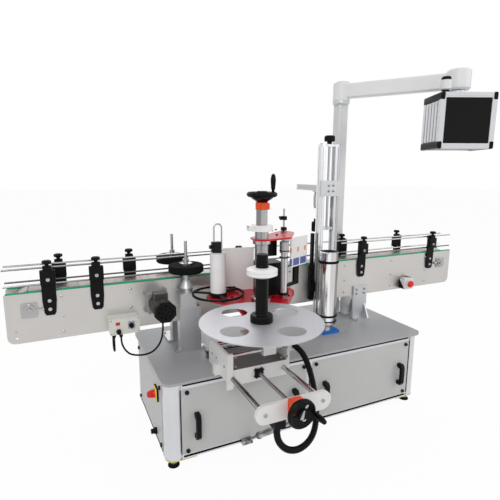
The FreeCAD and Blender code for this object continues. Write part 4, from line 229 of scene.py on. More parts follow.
def bright_rod(name, colour, roughness=0.14, painted_reflection=None):
    """Ground and plated round bar: nearly smooth, with small scratches and lengthwise dark and
    light bands of painted reflection.
    """
    f = Finish(name)
    rings = f.noise(900.0, 2.0)
    cloud = f.noise(9.0, 2.0)
    tone = f.blend(cloud, shade(colour, 0.90), shade(colour, 1.06))
    # Painted reflection: bands that darken the colour to 0.24 and lighten it to 1.75 stand in for
    # mirrored surroundings and highlights.
    if painted_reflection:
        band = f.noise(1.0, 1.5, painted_reflection)
        tone = f.blend(band.step(0.50, 0.60) * 0.80, tone, shade(colour, 0.24))
        tone = f.blend(band.step(0.46, 0.38) * 0.70, tone, shade(colour, 1.75))
    rough = cloud * 0.10 + rings * 0.06 + (roughness - 0.08)
    return f.surface(tone, rough, 1.0, Normal=f.bump(rings, 0.05, 0.0002))


def moulded(name, colour, roughness=0.42, grain=1400.0, strength=0.25, gleam=0.11):
    """Moulded plastic with a fine spark-eroded grain; gleam is the strength of its reflection."""
    f = Finish(name)
    grit = f.noise(grain, 2.0)
    cloud = f.noise(14.0, 3.0)
    tone = f.blend(cloud, shade(colour, 0.80), shade(colour, 1.30))
    rough = grit * 0.18 + cloud * 0.10 + (roughness - 0.14)
    return f.surface(tone, rough, 0.0, Specular_IOR_Level=gleam,
                     Normal=f.bump(grit, strength, 0.0003))


def painted(name, colour, roughness=0.38, peel=260.0, coat=0.0, strength=0.12, gleam=0.35):
    """Sprayed paint with a fine orange-peel surface and faint handling marks."""
    f = Finish(name)
    skin = f.noise(peel, 2.0)
    cloud = f.noise(5.0, 4.0)
    smudge = f.noise(23.0, 5.0)
    tone = f.blend(cloud, shade(colour, 0.92), shade(colour, 1.05))
    tone = f.blend(smudge.step(0.60, 0.80) * 0.10, tone, shade(colour, 0.70))
    rough = cloud * 0.14 + skin * 0.06 + smudge * 0.06 + (roughness - 0.13)
    return f.surface(tone, rough, 0.0, Coat_Weight=coat, Coat_Roughness=0.06,
                     Specular_IOR_Level=gleam, Normal=f.bump(skin, strength, 0.0004))


def rubber(name, colour, pores=900.0, roughness=0.75):
    """Foam or rubber with open pores."""
    f = Finish(name)
    pore = f.cells(pores)
    cloud = f.noise(20.0, 3.0)
    tone = f.blend(cloud, shade(colour, 0.7), shade(colour, 1.5))
    return f.surface(tone, cloud * 0.15 + (roughness - 0.07), 0.0, Specular_IOR_Level=0.12,
                     Normal=f.bump(pore, 0.5, 0.0008))


def chain_steel(colours):
    """Table-top chain slats: each a slightly different tone, brushed across and worn."""
    f = Finish("chain_slats")
    slot = (f.along(0) + FAR) / SLAT_PITCH
    each = f.random(slot)
    fine = f.noise(1.0, 2.0, (60.0, 1400.0, 400.0))
    cloud = f.noise(30.0, 3.0)
    tone = f.blend(each * 0.6 + fine * 0.4, shade(colours.slat, 0.82), shade(colours.slat, 1.12))
    tone = f.blend(cloud.step(0.62, 0.80) * 0.35, tone, shade(colours.slat, 0.70))
    return f.surface(tone, fine * 0.15 + cloud * 0.15 + 0.22, 0.9,
                     Normal=f.bump(fine, 0.2, 0.0002))


def table_paint(colours):
    """Smooth grey table coating with a faint fleck."""
    f = Finish("table_coating")
    fleck = f.cells(420.0)
    cloud = f.noise(2.5, 4.0)
    tone = f.blend(cloud, shade(colours.table, 0.93), shade(colours.table, 1.05))
    tone = f.blend(fleck.step(0.30, 0.05) * 0.12, tone, shade(colours.table, 1.5))
    return f.surface(tone, cloud * 0.12 + fleck * 0.08 + 0.30, 0.0,
                     Normal=f.bump(fleck, 0.06, 0.0003))


def display_glass():
    """Dark display: a glossy pane with a slightly lighter active area."""
    f = Finish("display_glass")
    haze = f.noise(3.0, 2.0)
    tone = f.blend(haze, (0.003, 0.003, 0.0035), (0.006, 0.006, 0.007))
    return f.surface(tone, haze * 0.05 + 0.12, 0.0, Specular_IOR_Level=0.14)


def label_film(colours):
    """Pale label stock with a blue band and orange squares at an even pitch."""
    f = Finish("label_film")
    height = f.along(2)
    run = f.along(0) * 0.92 + f.along(1) * 0.38
    cell = (run + 10.0) / LABEL_PITCH
    part = cell - cell.math("FLOOR")
    printed = f.along(0) > -0.02
    inside = part.step(0.06, 0.09) * (1.0 - part.step(0.91, 0.94)) * printed
    band = (height > 0.786) * (height < 0.822) * inside
    mark = (height > 0.852) * (height < 0.876) * printed
    mark = mark * part.step(0.60, 0.62) * (1.0 - part.step(0.84, 0.86))
    fibre = f.noise(90.0, 3.0)
    tone = f.blend(fibre, shade(colours.film, 0.96), shade(colours.film, 1.02))
    tone = f.blend(band * 0.9, tone, (0.012, 0.055, 0.33))
    tone = f.blend(mark * 0.95, tone, (0.75, 0.30, 0.04))
    return f.surface(tone, fibre * 0.1 + 0.32, 0.0, Normal=f.bump(fibre, 0.05, 0.0003))


def dial_print():
    """Pale dial plate with a plain blue-grey field and a row of ticks."""
    f = Finish("dial_print")
    low, high = corners("selector_knob")
    across = (f.along(0) - float(low[0] + high[0]) / 2.0) / 0.011
    upward = (f.along(2) - float(low[2] + high[2]) / 2.0) / 0.011
    reach = (across * across + upward * upward).math("SQRT")
    around = upward.math("ARCTAN2", across) * 3.18
    tick = around - around.math("FLOOR")
    tick = (tick < 0.24) * (reach > 1.05) * (reach < 1.28)
    fibre = f.noise(900.0, 2.0)
    tone = f.blend(fibre, (0.34, 0.38, 0.46), (0.40, 0.44, 0.52))
    tone = f.blend(tick * 0.9, tone, (0.02, 0.02, 0.03))
    return f.surface(tone, fibre * 0.1 + 0.35, 0.0, Normal=f.bump(fibre, 0.05, 0.0002))


def zinc_yellow():
    """Yellow passivated steel with a rainbow cast."""
    f = Finish("yellow_zinc")
    cloud = f.noise(28.0, 4.0)
    tone = f.blend(cloud, (0.50, 0.42, 0.10), (0.62, 0.60, 0.24))
    return f.surface(tone, cloud * 0.2 + 0.25, 0.85, Normal=f.bump(cloud, 0.1, 0.0003))


def all_finishes(colours):
    """Every named finish of the machine."""
    steel = colours.steel
    # upright, across_x, lengthwise and the last tuple of the column, ribbed, stay, polished and
    # roller finishes stretch their bands of painted reflection.
    upright = (30.0, 30.0, 0.5)
    across_x = (0.6, 60.0, 90.0)
    lengthwise = (90.0, 0.6, 90.0)
    made = {
        "profile": brushed_metal("anodised_profile", colours.profile, 0.42, (500.0, 500.0, 9.0),
                                 0.75, 0.12),
        "rail": brushed_metal("anodised_rail", colours.profile, 0.42, (9.0, 500.0, 500.0),
                              0.75, 0.12),
        "column": brushed_metal("column_profile", shade(colours.profile, 0.92), 0.30,
                                (500.0, 500.0, 9.0), 0.9, 0.1, (45.0, 45.0, 0.4)),
        "sheet": painted("panel_sheet", colours.panel, 0.46, 700.0),
        "table": table_paint(colours),
        "plate": brushed_metal("conveyor_plate", colours.plate, 0.36, (8.0, 300.0, 900.0),
                               0.85, 0.15),
        "turned": brushed_metal("turned_steel", steel, 0.28, (300.0, 300.0, 1200.0)),
        "sleeve": brushed_metal("turned_sleeve", steel, 0.26, (300.0, 300.0, 60.0), 1.0, 0.1,
                                upright),
        "satin": brushed_metal("satin_aluminium", shade(colours.profile, 0.80), 0.40,
                               (200.0, 200.0, 200.0), 0.8, 0.1),
        "ribbed": brushed_metal("ribbed_aluminium", shade(colours.profile, 0.62), 0.36,
                                (400.0, 400.0, 9.0), 0.9, 0.1, (160.0, 160.0, 1.0)),
        "tray": brushed_metal("tray_aluminium", colours.tray, 0.46, (240.0, 240.0, 240.0),
                              0.55, 0.08),
        "bright": bright_rod("bright_rod", shade(steel, 1.1)),
        "rod_y": bright_rod("slide_rod", shade(steel, 1.1), 0.16, lengthwise),
        "stay": bright_rod("stay_rod", shade(steel, 0.8), 0.2, (60.0, 12.0, 12.0)),
        "rod_x": bright_rod("guide_rod", shade(steel, 0.95), 0.18, across_x),
        "polished": bright_rod("polished_roller", shade(steel, 1.45), 0.16, (34.0, 34.0, 0.5)),
        "roller": brushed_metal("roller_tube", shade(steel, 1.45), 0.34, (300.0, 300.0, 20.0),
                                0.8, 0.1, (120.0, 120.0, 0.8)),
        "slats": chain_steel(colours),
        "black": moulded("moulded_black", colours.black),
        "gloss_black": moulded("gloss_black", shade(colours.black, 0.8), 0.25, 500.0, 0.08, 0.22),
        "anodised_black": moulded("anodised_black", shade(colours.black, 0.9), 0.36, 900.0, 0.1),
        "rubber": rubber("black_rubber", colours.black),
        "foam": rubber("tyre_foam", shade(colours.black, 1.3), 500.0, 0.9),
        "red": painted("gloss_red", colours.red, 0.30, 60.0, 0.12, 0.05, 0.3),
        "signal": moulded("signal_red", (0.70, 0.018, 0.012), 0.30, 600.0, 0.05, 0.35),
        "orange": moulded("counter_orange", (0.80, 0.075, 0.012), 0.34, 600.0, 0.08, 0.3),
        "white": painted("warm_white", colours.white, 0.42, 300.0),
        "mandrel": moulded("white_mandrel", (0.88, 0.87, 0.86), 0.38, 500.0, 0.08, 0.4),
        "film": label_film(colours),
        "cream": painted("cream_box", colours.cream, 0.36, 300.0),
        "deck": brushed_metal("deck_grey", (0.23, 0.23, 0.235), 0.42, (300.0, 9.0, 300.0),
                              0.6, 0.1),
        "motor": painted("motor_enamel", (0.050, 0.048, 0.046), 0.36, 200.0, 0.0, 0.12, 0.3),
        "green": moulded("green_strip", (0.02, 0.34, 0.17), 0.40, 300.0, 0.1),
        "zinc": zinc_yellow(),
        "glass": display_glass(),
        "arm": painted("arm_enamel", colours.arm, 0.32, 240.0),
        # Painted shade: the post takes the arm colour darkened to 0.78, a shaded copy of the arm
        # enamel.
        "post": brushed_metal("post_aluminium", shade(colours.arm, 0.78), 0.42,
                              (400.0, 400.0, 6.0), 0.5, 0.08),
        "housing": brushed_metal("housing_aluminium", shade(colours.profile, 0.95), 0.38,
                                 (300.0, 300.0, 300.0), 0.6, 0.08),
        "blue": moulded("blue_fitting", (0.02, 0.16, 0.55), 0.38, 500.0, 0.1),
        "yellow": moulded("yellow_ring", (0.85, 0.62, 0.03), 0.35, 500.0, 0.1),
        "dial": dial_print(),
        "gear": painted("gear_grey", (0.30, 0.30, 0.30), 0.45, 300.0),
    }
    return made


# ------------------------------------------------------------------ which finish goes where
PLAIN = {
    "sheet": "cabinet_panels",
    "black": "panel_handles motor_fan_cover speed_knob selector_knob guide_brackets "
             "column_handwheel cable_glands corrugated_hose",
    "table": "table_top",
    "gear": "control_gear",
    "plate": "conveyor_front_plate conveyor_back_plate",
    "turned": "conveyor_cross_bars left_idler_sprocket right_idler_sprocket drive_sprocket",
    "green": "wear_strips",
    "slats": "slat_chain",
    "cream": "control_box",
    "signal": "rocker_switch estop_button main_switch_knob",
    "rod_x": "guide_rods",
    "satin": "left_support right_support lift_carriage",
    "rod_y": "slide_rods",
    "stay": "stay_rod",
    "red": "head_plate",
    "anodised_black": "head_drive supply_spindle",
    "column": "lift_column",
    "post": "hmi_post",
    "arm": "hmi_arm",
    "rubber": "motor_cable control_box_cable",
    "film": "label_web",
}


def solid_parts(mesh):
    """Number of the loose solid that each triangle belongs to, and the three corners of each
    triangle.

    Corners at the same place are joined, then each corner takes the lowest number among its
    neighbours, over and over, until nothing changes.
    """
    count = len(mesh.vertices)
    spots = np.empty(count * 3, np.float32)
    mesh.vertices.foreach_get("co", spots)
    spots = spots.reshape(-1, 3)
    _, same = np.unique(np.round(spots, 6), axis=0, return_inverse=True)
    same = same.ravel()
    loops = np.empty(len(mesh.loops), np.int32)
    mesh.loops.foreach_get("vertex_index", loops)
    faces = same[loops].reshape(-1, 3)
    label = np.arange(same.max() + 1)
    while True:
        low = label[faces].min(axis=1)
        fresh = label.copy()
        np.minimum.at(fresh, faces.ravel(), np.repeat(low, 3))
        fresh = fresh[fresh]
        if np.array_equal(fresh, label):
            break
        label = fresh
    owner = label[faces[:, 0]]
    centres = spots[loops].reshape(-1, 3, 3)
    return owner, centres


class Faces:
    """The faces of one node, for choosing finishes by place.

    x, y, z are the middles of the faces; low and high are the node's corners; own_low and
    own_high are the corners of the loose solid that each face belongs to; reach is the level
    distance from the node's upright axis.
    """

    def __init__(self, node):
        owner, self.triangles = solid_parts(NODES[node].data)
        self.middle = self.triangles.mean(axis=1)
        self.x, self.y, self.z = self.middle.T
        self.low, self.high = corners(node)
        self.own_low = np.empty((len(owner), 3))
        self.own_high = np.empty((len(owner), 3))
        for number in np.unique(owner):
            mine = owner == number
            self.own_low[mine] = self.triangles[mine].min(axis=(0, 1))
            self.own_high[mine] = self.triangles[mine].max(axis=(0, 1))
        self.own_size = self.own_high - self.own_low
        axis = (self.low + self.high) / 2.0
        self.reach = np.hypot(self.x - axis[0], self.y - axis[1])


def paint(node, made, names, chooser=None):
    """Gives a node its finishes; chooser(faces) returns the finish number of each face."""
    mesh = NODES[node].data
    mesh.materials.clear()
    for name in names:
        mesh.materials.append(made[name])
    index = np.zeros(len(mesh.polygons), np.int32)
    if chooser is not None:
        index = chooser(Faces(node)).astype(np.int32)
    mesh.polygons.foreach_set("material_index", index)
    mesh.update()


def frame_split(f):
    """Uprights, then rails along x."""
    return f.own_size[:, 0] > 1.0


def feet_split(f):
    """Plated studs, black pads, yellow zinc corner strips."""
    strip = f.own_size[:, 0] > 0.1
    pad = ~strip & (f.z < 0.0115)
    return np.select([strip, pad], [2, 1], 0)


def switch_split(f):
    """Black plate with a yellow raised ring."""
    return f.x < f.low[0] + 0.0035


def motor_split(f):
    """Dark enamelled barrel, grey cast gearbox."""
    return f.y > f.high[1] - 0.0625


def wheel_split(f):
    """Foam tyre, steel shaft and hub."""
    return f.reach < 0.0305


def end_plate_split(f):
    """Pale plate, counter with an orange window."""
    return f.own_size[:, 0] < 0.1


def handwheel_split(f):
    """Black wheel, plated screw."""
    centre = (f.low + f.high) / 2.0
    wheel = f.y < f.low[1] + 0.110
    return ~(wheel & (np.hypot(f.x - centre[0], f.z - centre[2]) > 0.0081))


def saddle_edges():
    """Outer faces of the saddle's right and left cheeks, its front face and its top."""
    low, high = corners("saddle")
    return high[0] - 0.092, low[0] + 0.024, low[1] + 0.012, high[2]


def saddle_split(f):
    """Pale plates, bright cross rods, black clamp lever and nut, dark deck."""
    right, left, front, top = saddle_edges()
    lever = (f.y > front + 0.048) & (f.y < front + 0.072) & (f.z > top - 0.032)
    handle = (f.x > right + 0.022) & lever
    shank = (f.x > right + 0.0001) & ~handle & lever
    nut = (f.y < front - 0.0005) & (f.y > front - 0.0105)
    nut &= (f.x > left + 0.030) & (f.x < right - 0.030)
    rods = np.zeros(len(f.x), bool)
    for place in (front + 0.028, front + 0.168):
        rods |= np.hypot(f.y - place, f.z - (top - 0.024)) < 0.0085
    inner = (f.x > left + 0.0125) & (f.x < right - 0.0125)
    deck = (f.z > 0.4445) & (f.z < 0.4455)
    deck &= (f.x > left + 0.0121) & (f.x < right - 0.0121)
    return np.select([rods & inner | shank, handle | nut, deck], [1, 2, 3], 0)


def stage_split(f):
    """Turned column, pale stage plate, counter with an orange face, black seal."""
    counter = f.own_size[:, 2] < 0.1
    stage = ~counter & (f.z < 0.5342)
    seal = counter & (f.z < f.own_low[:, 2] + 0.009) & (f.y > -0.0745)
    return np.select([seal, counter, stage], [3, 2, 1], 0)


def sleeve_split(f):
    """Turned sleeve, pale top collar and hub under the tray."""
    return (f.z > f.own_high[:, 2] - 0.0245) | (f.own_size[:, 2] < 0.1)


def tray_split(f):
    """Matt aluminium tray, pale clamping flange."""
    return f.own_size[:, 0] < 0.2


def reel_split(f):
    """White mandrel, black ring and spokes, plated spring pin."""
    pin = f.z > f.high[2] - 0.1345
    mandrel = (f.z > f.low[2] + 0.0421) & (f.reach < 0.0355)
    return np.select([pin, mandrel], [2, 0], 1)


def roller_split(f):
    """Aluminium tube, black foot ring, turned collar and ends."""
    low, high = f.low[2], f.high[2]
    foot = (f.z > low + 0.030) & (f.z < low + 0.0425)
    ends = (f.reach > 0.0185) & (f.z > low + 0.1) | (f.z > high - 0.034) | (f.z < low + 0.030)
    return np.select([foot, ends], [1, 2], 0)


def wrap_split(f):
    """Polished shell; rings, core and pivot in black."""
    core = (f.reach < 0.041) & (f.z > f.high[2] - 0.011)
    return (f.reach > 0.0483) | core | (f.reach < 0.0102)


def estop_split(f):
    """White cover on a black base."""
    return f.y > f.high[1] - 0.027


def cylinder_split(f):
    """Ribbed barrel, pale flange, black port fittings."""
    return np.select([f.x > f.high[0] - 0.0125, f.z > f.high[2] - 0.0061], [2, 1], 0)


def stand_split(f):
    """Black rub bar and its stand, blue plinth, plated stub."""
    bar = f.own_high[:, 2] > 0.7
    return np.select([bar, f.z < 0.4155], [0, 1], 2)


def screw_split(f):
    """Black knob, bright screw."""
    return f.z <= f.high[2] - 0.0436


def pad_split(f):
    """Rubber pad on a bright rod."""
    return f.z >= f.low[2] + 0.0705


PANEL_YAW = math.radians(-25.1)
PANEL_HALF, PANEL_FRONT, PANEL_BACK, PANEL_TALL = 0.1325, -0.130, 0.070, 0.257


def panel_split(f):
    """Pale housing, dark display, lamp in black, grey and white."""
    x, y, z = in_panel(f.triangles).mean(axis=1).T
    z = z - panel_base()
    lamp = (z > 0.2572) & (x < -0.070) & (y < -0.060)
    glass = (np.abs(x) < PANEL_HALF - 0.0242) & (z > 0.0242) & (z < 0.2328)
    glass &= (y > PANEL_FRONT + 0.0049) & (y < PANEL_FRONT + 0.0121)
    dark = lamp & ((z < 0.2712) | (z > 0.317))
    return np.select([dark, lamp & (z > 0.306), lamp, glass], [2, 4, 3, 1], 0)


def panel_axis():
    """Place of the upright joint that carries the operator panel."""
    for joint in frame["joints"]:
        if joint["name"] == "panel_turn":
            return np.array(joint["pos_m"])
    raise RuntimeError("the packed model has no panel_turn joint")


def panel_base():
    """Height of the underside of the panel housing."""
    return corners("hmi_box")[0][2]


def in_panel(spots):
    """Points as seen from the panel: x to its right, y into it, origin on its joint."""
    shifted = spots - panel_axis() * np.array([1.0, 1.0, 0.0])
    cosine, sine = math.cos(PANEL_YAW), math.sin(PANEL_YAW)
    x = shifted[..., 0] * cosine + shifted[..., 1] * sine
    y = shifted[..., 1] * cosine - shifted[..., 0] * sine
    return np.stack([x, y, shifted[..., 2]], axis=-1)


def from_panel(part):
    """Part laid out in the panel's own directions, moved to where the panel is."""
    points, quads = part
    cosine, sine = math.cos(PANEL_YAW), math.sin(PANEL_YAW)
    x = points[:, 0] * cosine - points[:, 1] * sine
    y = points[:, 0] * sine + points[:, 1] * cosine
    axis = panel_axis()
    return np.stack([x + axis[0], y + axis[1], points[:, 2] + panel_base()], axis=-1), quads


SPLIT = {
    "base_frame": (("profile", "rail"), frame_split),
    "levelling_feet": (("turned", "rubber", "zinc"), feet_split),
    "main_switch_base": (("black", "yellow"), switch_split),
    "drive_gearmotor": (("motor", "gear"), motor_split),
    "front_spacing_wheel": (("foam", "turned"), wheel_split),
    "rear_spacing_wheel": (("foam", "turned"), wheel_split),
    "slide_end_plate": (("white", "orange"), end_plate_split),
    "slide_handwheel": (("black", "turned"), handwheel_split),
    "saddle": (("white", "bright", "black", "deck"), saddle_split),
    "column_stage": (("sleeve", "white", "orange", "black"), stage_split),
    "head_sleeve": (("sleeve", "mandrel"), sleeve_split),
    "front_guide_roller": (("roller", "black", "turned"), roller_split),
    "rear_guide_roller": (("roller", "black", "turned"), roller_split),
    "wrap_roller": (("polished", "rubber"), wrap_split),
    "estop_box": (("white", "black"), estop_split),
    "air_cylinder": (("ribbed", "satin", "black"), cylinder_split),
    "supply_tray": (("tray", "mandrel"), tray_split),
    "rewind_reel": (("mandrel", "black", "bright"), reel_split),
    "wrap_stand": (("black", "blue", "turned"), stand_split),
    "lift_screw": (("black", "bright"), screw_split),
    "bottle_pad": (("rubber", "bright"), pad_split),
    "hmi_box": (("housing", "glass", "black", "white", "gear"), panel_split),
}


# ------------------------------------------------------------------ surfaces
def grid_mesh(points, wrap_u=False, wrap_v=False):
    """Quads over a grid of points, shape (rows, columns, 3); wrap joins the last to the first."""
    rows, columns = points.shape[:2]
    number = np.arange(rows * columns).reshape(rows, columns)
    if wrap_u:
        number = np.vstack([number, number[:1]])
    if wrap_v:
        number = np.hstack([number, number[:, :1]])
    quads = np.stack([number[:-1, :-1], number[:-1, 1:], number[1:, 1:], number[1:, :-1]], axis=-1)
    return points.reshape(-1, 3), quads.reshape(-1, 4)


def turned(outline, sides=24):
    """Surface of revolution about z: outline rows are (radius, height), from pole to pole.

    x = r cos(a), y = r sin(a), z = h for an angle a that goes once round.
    """
    outline = np.asarray(outline, float)
    angle = np.linspace(0.0, 2.0 * np.pi, sides, endpoint=False)
    points = np.empty((len(outline), sides, 3))
    points[:, :, 0] = outline[:, :1] * np.cos(angle)
    points[:, :, 1] = outline[:, :1] * np.sin(angle)
    points[:, :, 2] = outline[:, 1:]
    return grid_mesh(points, wrap_v=True)


def bar(size, radius, steps=4, chamfer=0.0):
    """Rounded bar along z: a rectangle with round corners, drawn in at both ends.

    Each corner is a quarter circle of the given radius; the end rings shrink by the chamfer.
    """
    half = np.asarray(size, float) / 2.0
    turn = np.linspace(0.0, np.pi / 2.0, steps)
    quarter = np.concatenate([turn + k * np.pi / 2.0 for k in range(4)])
    sign_x = np.repeat([1.0, -1.0, -1.0, 1.0], steps)
    sign_y = np.repeat([1.0, 1.0, -1.0, -1.0], steps)
    levels = [(0.0, -half[2]), (1.0, -half[2]), (2.0, -half[2] + chamfer),
              (2.0, half[2] - chamfer), (1.0, half[2]), (0.0, half[2])]
    rings = []
    for kind, z in levels:
        inset = chamfer if kind < 2.0 else 0.0
        scale = 0.0 if kind == 0.0 else 1.0
        x = sign_x * (half[0] - radius) + (radius - inset) * np.cos(quarter)
        y = sign_y * (half[1] - radius) + (radius - inset) * np.sin(quarter)
        rings.append(np.stack([x * scale, y * scale, np.full_like(x, z)], axis=-1))
    return grid_mesh(np.array(rings), wrap_v=True)


def moved(part, place, axis=(0.0, 0.0, 1.0), spin=0.0):
    """Part with its z axis laid along axis and its origin at place."""
    points, quads = part
    turn = Vector(axis).to_track_quat("Z", "Y").to_matrix() @ Matrix.Rotation(spin, 3, "Z")
    return points @ np.array(turn).T + np.asarray(place, float), quads


def many(part, places, axis=(0.0, 0.0, 1.0), spins=None):
    """The same part at each of several places."""
    spins = spins if spins is not None else [0.0] * len(places)
    return [moved(part, place, axis, spin) for place, spin in zip(places, spins)]


def prism(outline, height, chamfer=0.001):
    """Flat-sided body along z: an outline carried from 0 to height, drawn in a little at both ends.

    Each ring is the outline scaled about its middle: nought, inset, full, full, inset, nought.
    """
    outline = np.asarray(outline, float)
    middle = outline.mean(axis=0)
    reach = np.abs(outline - middle).max()
    inset = 1.0 - chamfer / reach
    rings = []
    for scale, z in ((0.0, 0.0), (inset, 0.0), (1.0, chamfer), (1.0, height - chamfer),
                     (inset, height), (0.0, height)):
        flat = middle + (outline - middle) * scale
        rings.append(np.column_stack([flat, np.full(len(flat), z)]))
    return grid_mesh(np.array(rings), wrap_v=True)


def ring(radius, thickness, sides=40, around=10):
    """Torus about z: (R + r cos b) cos a, (R + r cos b) sin a, r sin b."""
    a = np.linspace(0.0, 2.0 * np.pi, sides, endpoint=False)[:, None]
    b = np.linspace(0.0, 2.0 * np.pi, around, endpoint=False)[None, :]
    out = radius + thickness * np.cos(b)
    points = np.stack([out * np.cos(a), out * np.sin(a), thickness * np.sin(b) + 0.0 * a], axis=-1)
    return grid_mesh(points, wrap_u=True, wrap_v=True)


def lobed(outline, lobes, depth, sides=40):
    """Grip knob about z: each radius of the outline is scaled by 1 + d cos(n a)."""
    points, quads = turned(outline, sides)
    angle = np.arctan2(points[:, 1], points[:, 0])
    wave = 1.0 + depth * np.cos(lobes * angle)
    return points * np.stack([wave, wave, np.ones_like(wave)], axis=-1), quads


def places(xs, ys, zs):
    """Every place on a grid of coordinates."""
    return [(x, y, z) for x in xs for y in ys for z in zs]


def inset(node, axis, amount):
    """The two coordinates of a node along one axis, moved inwards by an amount."""
    low, high = corners(node)
    return low[axis] + amount, high[axis] - amount


def axis_of(node):
    """Middle of a node in x and y."""
    return (np.add(*corners(node)) / 2.0)[:2]


def screw_head(radius, height, sides=14):
    """Socket screw head about z with a sunk middle."""
    return turned([(0.0, 0.0), (radius, 0.0), (radius, height * 0.8), (radius * 0.88, height),
                   (radius * 0.5, height), (radius * 0.44, height * 0.35), (0.0, height * 0.35)],
                  sides)


def linked(name, data):
    """New object in the scene."""
    thing = bpy.data.objects.new(name, data)
    bpy.context.scene.collection.objects.link(thing)
    return thing


def piece(name, parts, finish, body, replaces=(), smooth=35.0):
    """One object from several (points, quads) parts, riding on a body."""
    mesh = bpy.data.meshes.new(name)
    start, points, quads = 0, [], []
    for spots, faces in parts:
        points.append(spots)
        quads.append(faces + start)
        start += len(spots)
    mesh.from_pydata(np.concatenate(points).tolist(), [], np.concatenate(quads).tolist())
    work = bmesh.new()
    work.from_mesh(mesh)
    bmesh.ops.remove_doubles(work, verts=work.verts, dist=1e-7)
    bmesh.ops.dissolve_degenerate(work, edges=work.edges, dist=1e-7)
    bmesh.ops.recalc_face_normals(work, faces=work.faces)
    work.to_mesh(mesh)
    work.free()
    mesh.shade_smooth()
    mesh.set_sharp_from_angle(angle=math.radians(smooth))
    mesh.materials.append(finish)
    thing = linked(name, mesh)
    if body:
        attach(thing, body)
    if replaces:
        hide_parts(*replaces)
    return thing


# ------------------------------------------------------------------ cords
def route_curve(name, points, diameter):
    """Smooth curve of order 3 that has the route's points as its control points."""
    curve = bpy.data.curves.new(name, "CURVE")
    curve.dimensions = "3D"
    curve.resolution_u = 12
    spline = curve.splines.new("NURBS")
    spline.points.add(len(points) - 1)
    for spot, place in zip(spline.points, points):
        spot.co = (*place, 1.0)
    spline.order_u = 3
    spline.use_endpoint_u = True
    curve.bevel_depth = diameter / 2.0
    curve.bevel_resolution = 5
    curve.use_fill_caps = True
    return linked(name, curve)


def centreline(name, points):
    """Points along the route's smooth curve, read from a copy without thickness."""
    probe = route_curve(name + "_probe", points, 0.0)
    bpy.context.view_layer.update()
    mesh = bpy.data.meshes.new_from_object(
        probe.evaluated_get(bpy.context.evaluated_depsgraph_get()))
    spots = np.empty(len(mesh.vertices) * 3)
    mesh.vertices.foreach_get("co", spots)
    bpy.data.objects.remove(probe)
    return spots.reshape(-1, 3)


def evenly(spots, count):
    """The same line with evenly spaced points."""
    run = np.concatenate([[0.0], np.cumsum(np.linalg.norm(np.diff(spots, axis=0), axis=1))])
    at = np.linspace(0.0, run[-1], count)
    return np.stack([np.interp(at, run, spots[:, k]) for k in range(3)], axis=-1), at


def ribbed_tube(spots, at, radius, pitch, depth, sides=20, side=(0.6, -0.5, 0.62)):
    """Tube round a line whose radius rises and falls: r = R - d (1 - cos(2 pi s / p)) / 2."""
    ahead = np.gradient(spots, axis=0)
    ahead /= np.linalg.norm(ahead, axis=1, keepdims=True)
    first = np.cross(ahead, np.asarray(side))
    first /= np.linalg.norm(first, axis=1, keepdims=True)
    second = np.cross(ahead, first)
    wave = radius - depth * (0.5 - 0.5 * np.cos(2.0 * np.pi * at / pitch))
    angle = np.linspace(0.0, 2.0 * np.pi, sides, endpoint=False)
    rim = (first[:, None, :] * np.cos(angle)[None, :, None]
           + second[:, None, :] * np.sin(angle)[None, :, None])
    points = spots[:, None, :] + rim * wave[:, None, None]
    points = np.concatenate([np.repeat(spots[:1, None], sides, 1), points,
                             np.repeat(spots[-1:, None], sides, 1)])
    return grid_mesh(points, wrap_v=True)


# ------------------------------------------------------------------ sizes and colours
class LabellerColours(bpy.types.PropertyGroup):
    """Colours that a user may change."""


class LabellerSizes(bpy.types.PropertyGroup):
    """Sizes of the small fittings."""


def colour_property(name, description, value):
    return FloatVectorProperty(name=name, description=description, default=value, size=3,
                               min=0.0, max=1.0, subtype="COLOR")


LabellerColours.__annotations__ = {
    "profile": colour_property("Profile", "Anodised frame profiles", (0.70, 0.71, 0.73)),
    "panel": colour_property("Panels", "Cabinet door sheets", (0.56, 0.56, 0.555)),
    "table": colour_property("Table", "Coating of the table plate", (0.40, 0.405, 0.42)),
    "plate": colour_property("Conveyor plates", "Side plates of the conveyor", (0.60, 0.58, 0.56)),
    "slat": colour_property("Slats", "Table-top chain", (0.50, 0.44, 0.43)),
    "steel": colour_property("Steel", "Turned and plated parts", (0.44, 0.43, 0.43)),
    "tray": colour_property("Tray", "Label roll tray", (0.52, 0.52, 0.55)),
    "black": colour_property("Black", "Moulded and anodised black parts", (0.0045, 0.0045, 0.005)),
    "red": colour_property("Head red", "Plates of the labelling head", (0.56, 0.006, 0.016)),
    "white": colour_property("Warm white", "Cross slide plates", (0.79, 0.785, 0.775)),
    "film": colour_property("Film", "Label stock", (0.90, 0.88, 0.87)),
    "cream": colour_property("Cream", "Speed control box", (0.72, 0.72, 0.66)),
    "arm": colour_property("Arm", "Operator panel arm and post", (0.82, 0.825, 0.83)),
}

LabellerSizes.__annotations__ = {
    "screw_radius": FloatProperty(name="Panel screw radius", description="Knurled panel screws",
                                  default=0.009, min=0.002, unit="LENGTH"),
    "screw_height": FloatProperty(name="Panel screw height", description="Knurled panel screws",
                                  default=0.008, min=0.001, unit="LENGTH"),
    "bolt_radius": FloatProperty(name="Bolt head radius", description="Heads on the plates",
                                 default=0.0055, min=0.001, unit="LENGTH"),
    "hose_pitch": FloatProperty(name="Conduit pitch", description="Distance between ribs",
                                default=0.0065, min=0.002, unit="LENGTH"),
}

MADE = {}
ROD_RADIUS = 0.006
FRONT_BRACKETS = (-1.085, -0.898, -0.240, 0.530, 1.066)
REAR_BRACKETS = (-1.040, -0.740, -0.300, 0.480, 0.900)


def colours():
    return bpy.context.scene.labeller_colours


def sizes():
    return bpy.context.scene.labeller_sizes


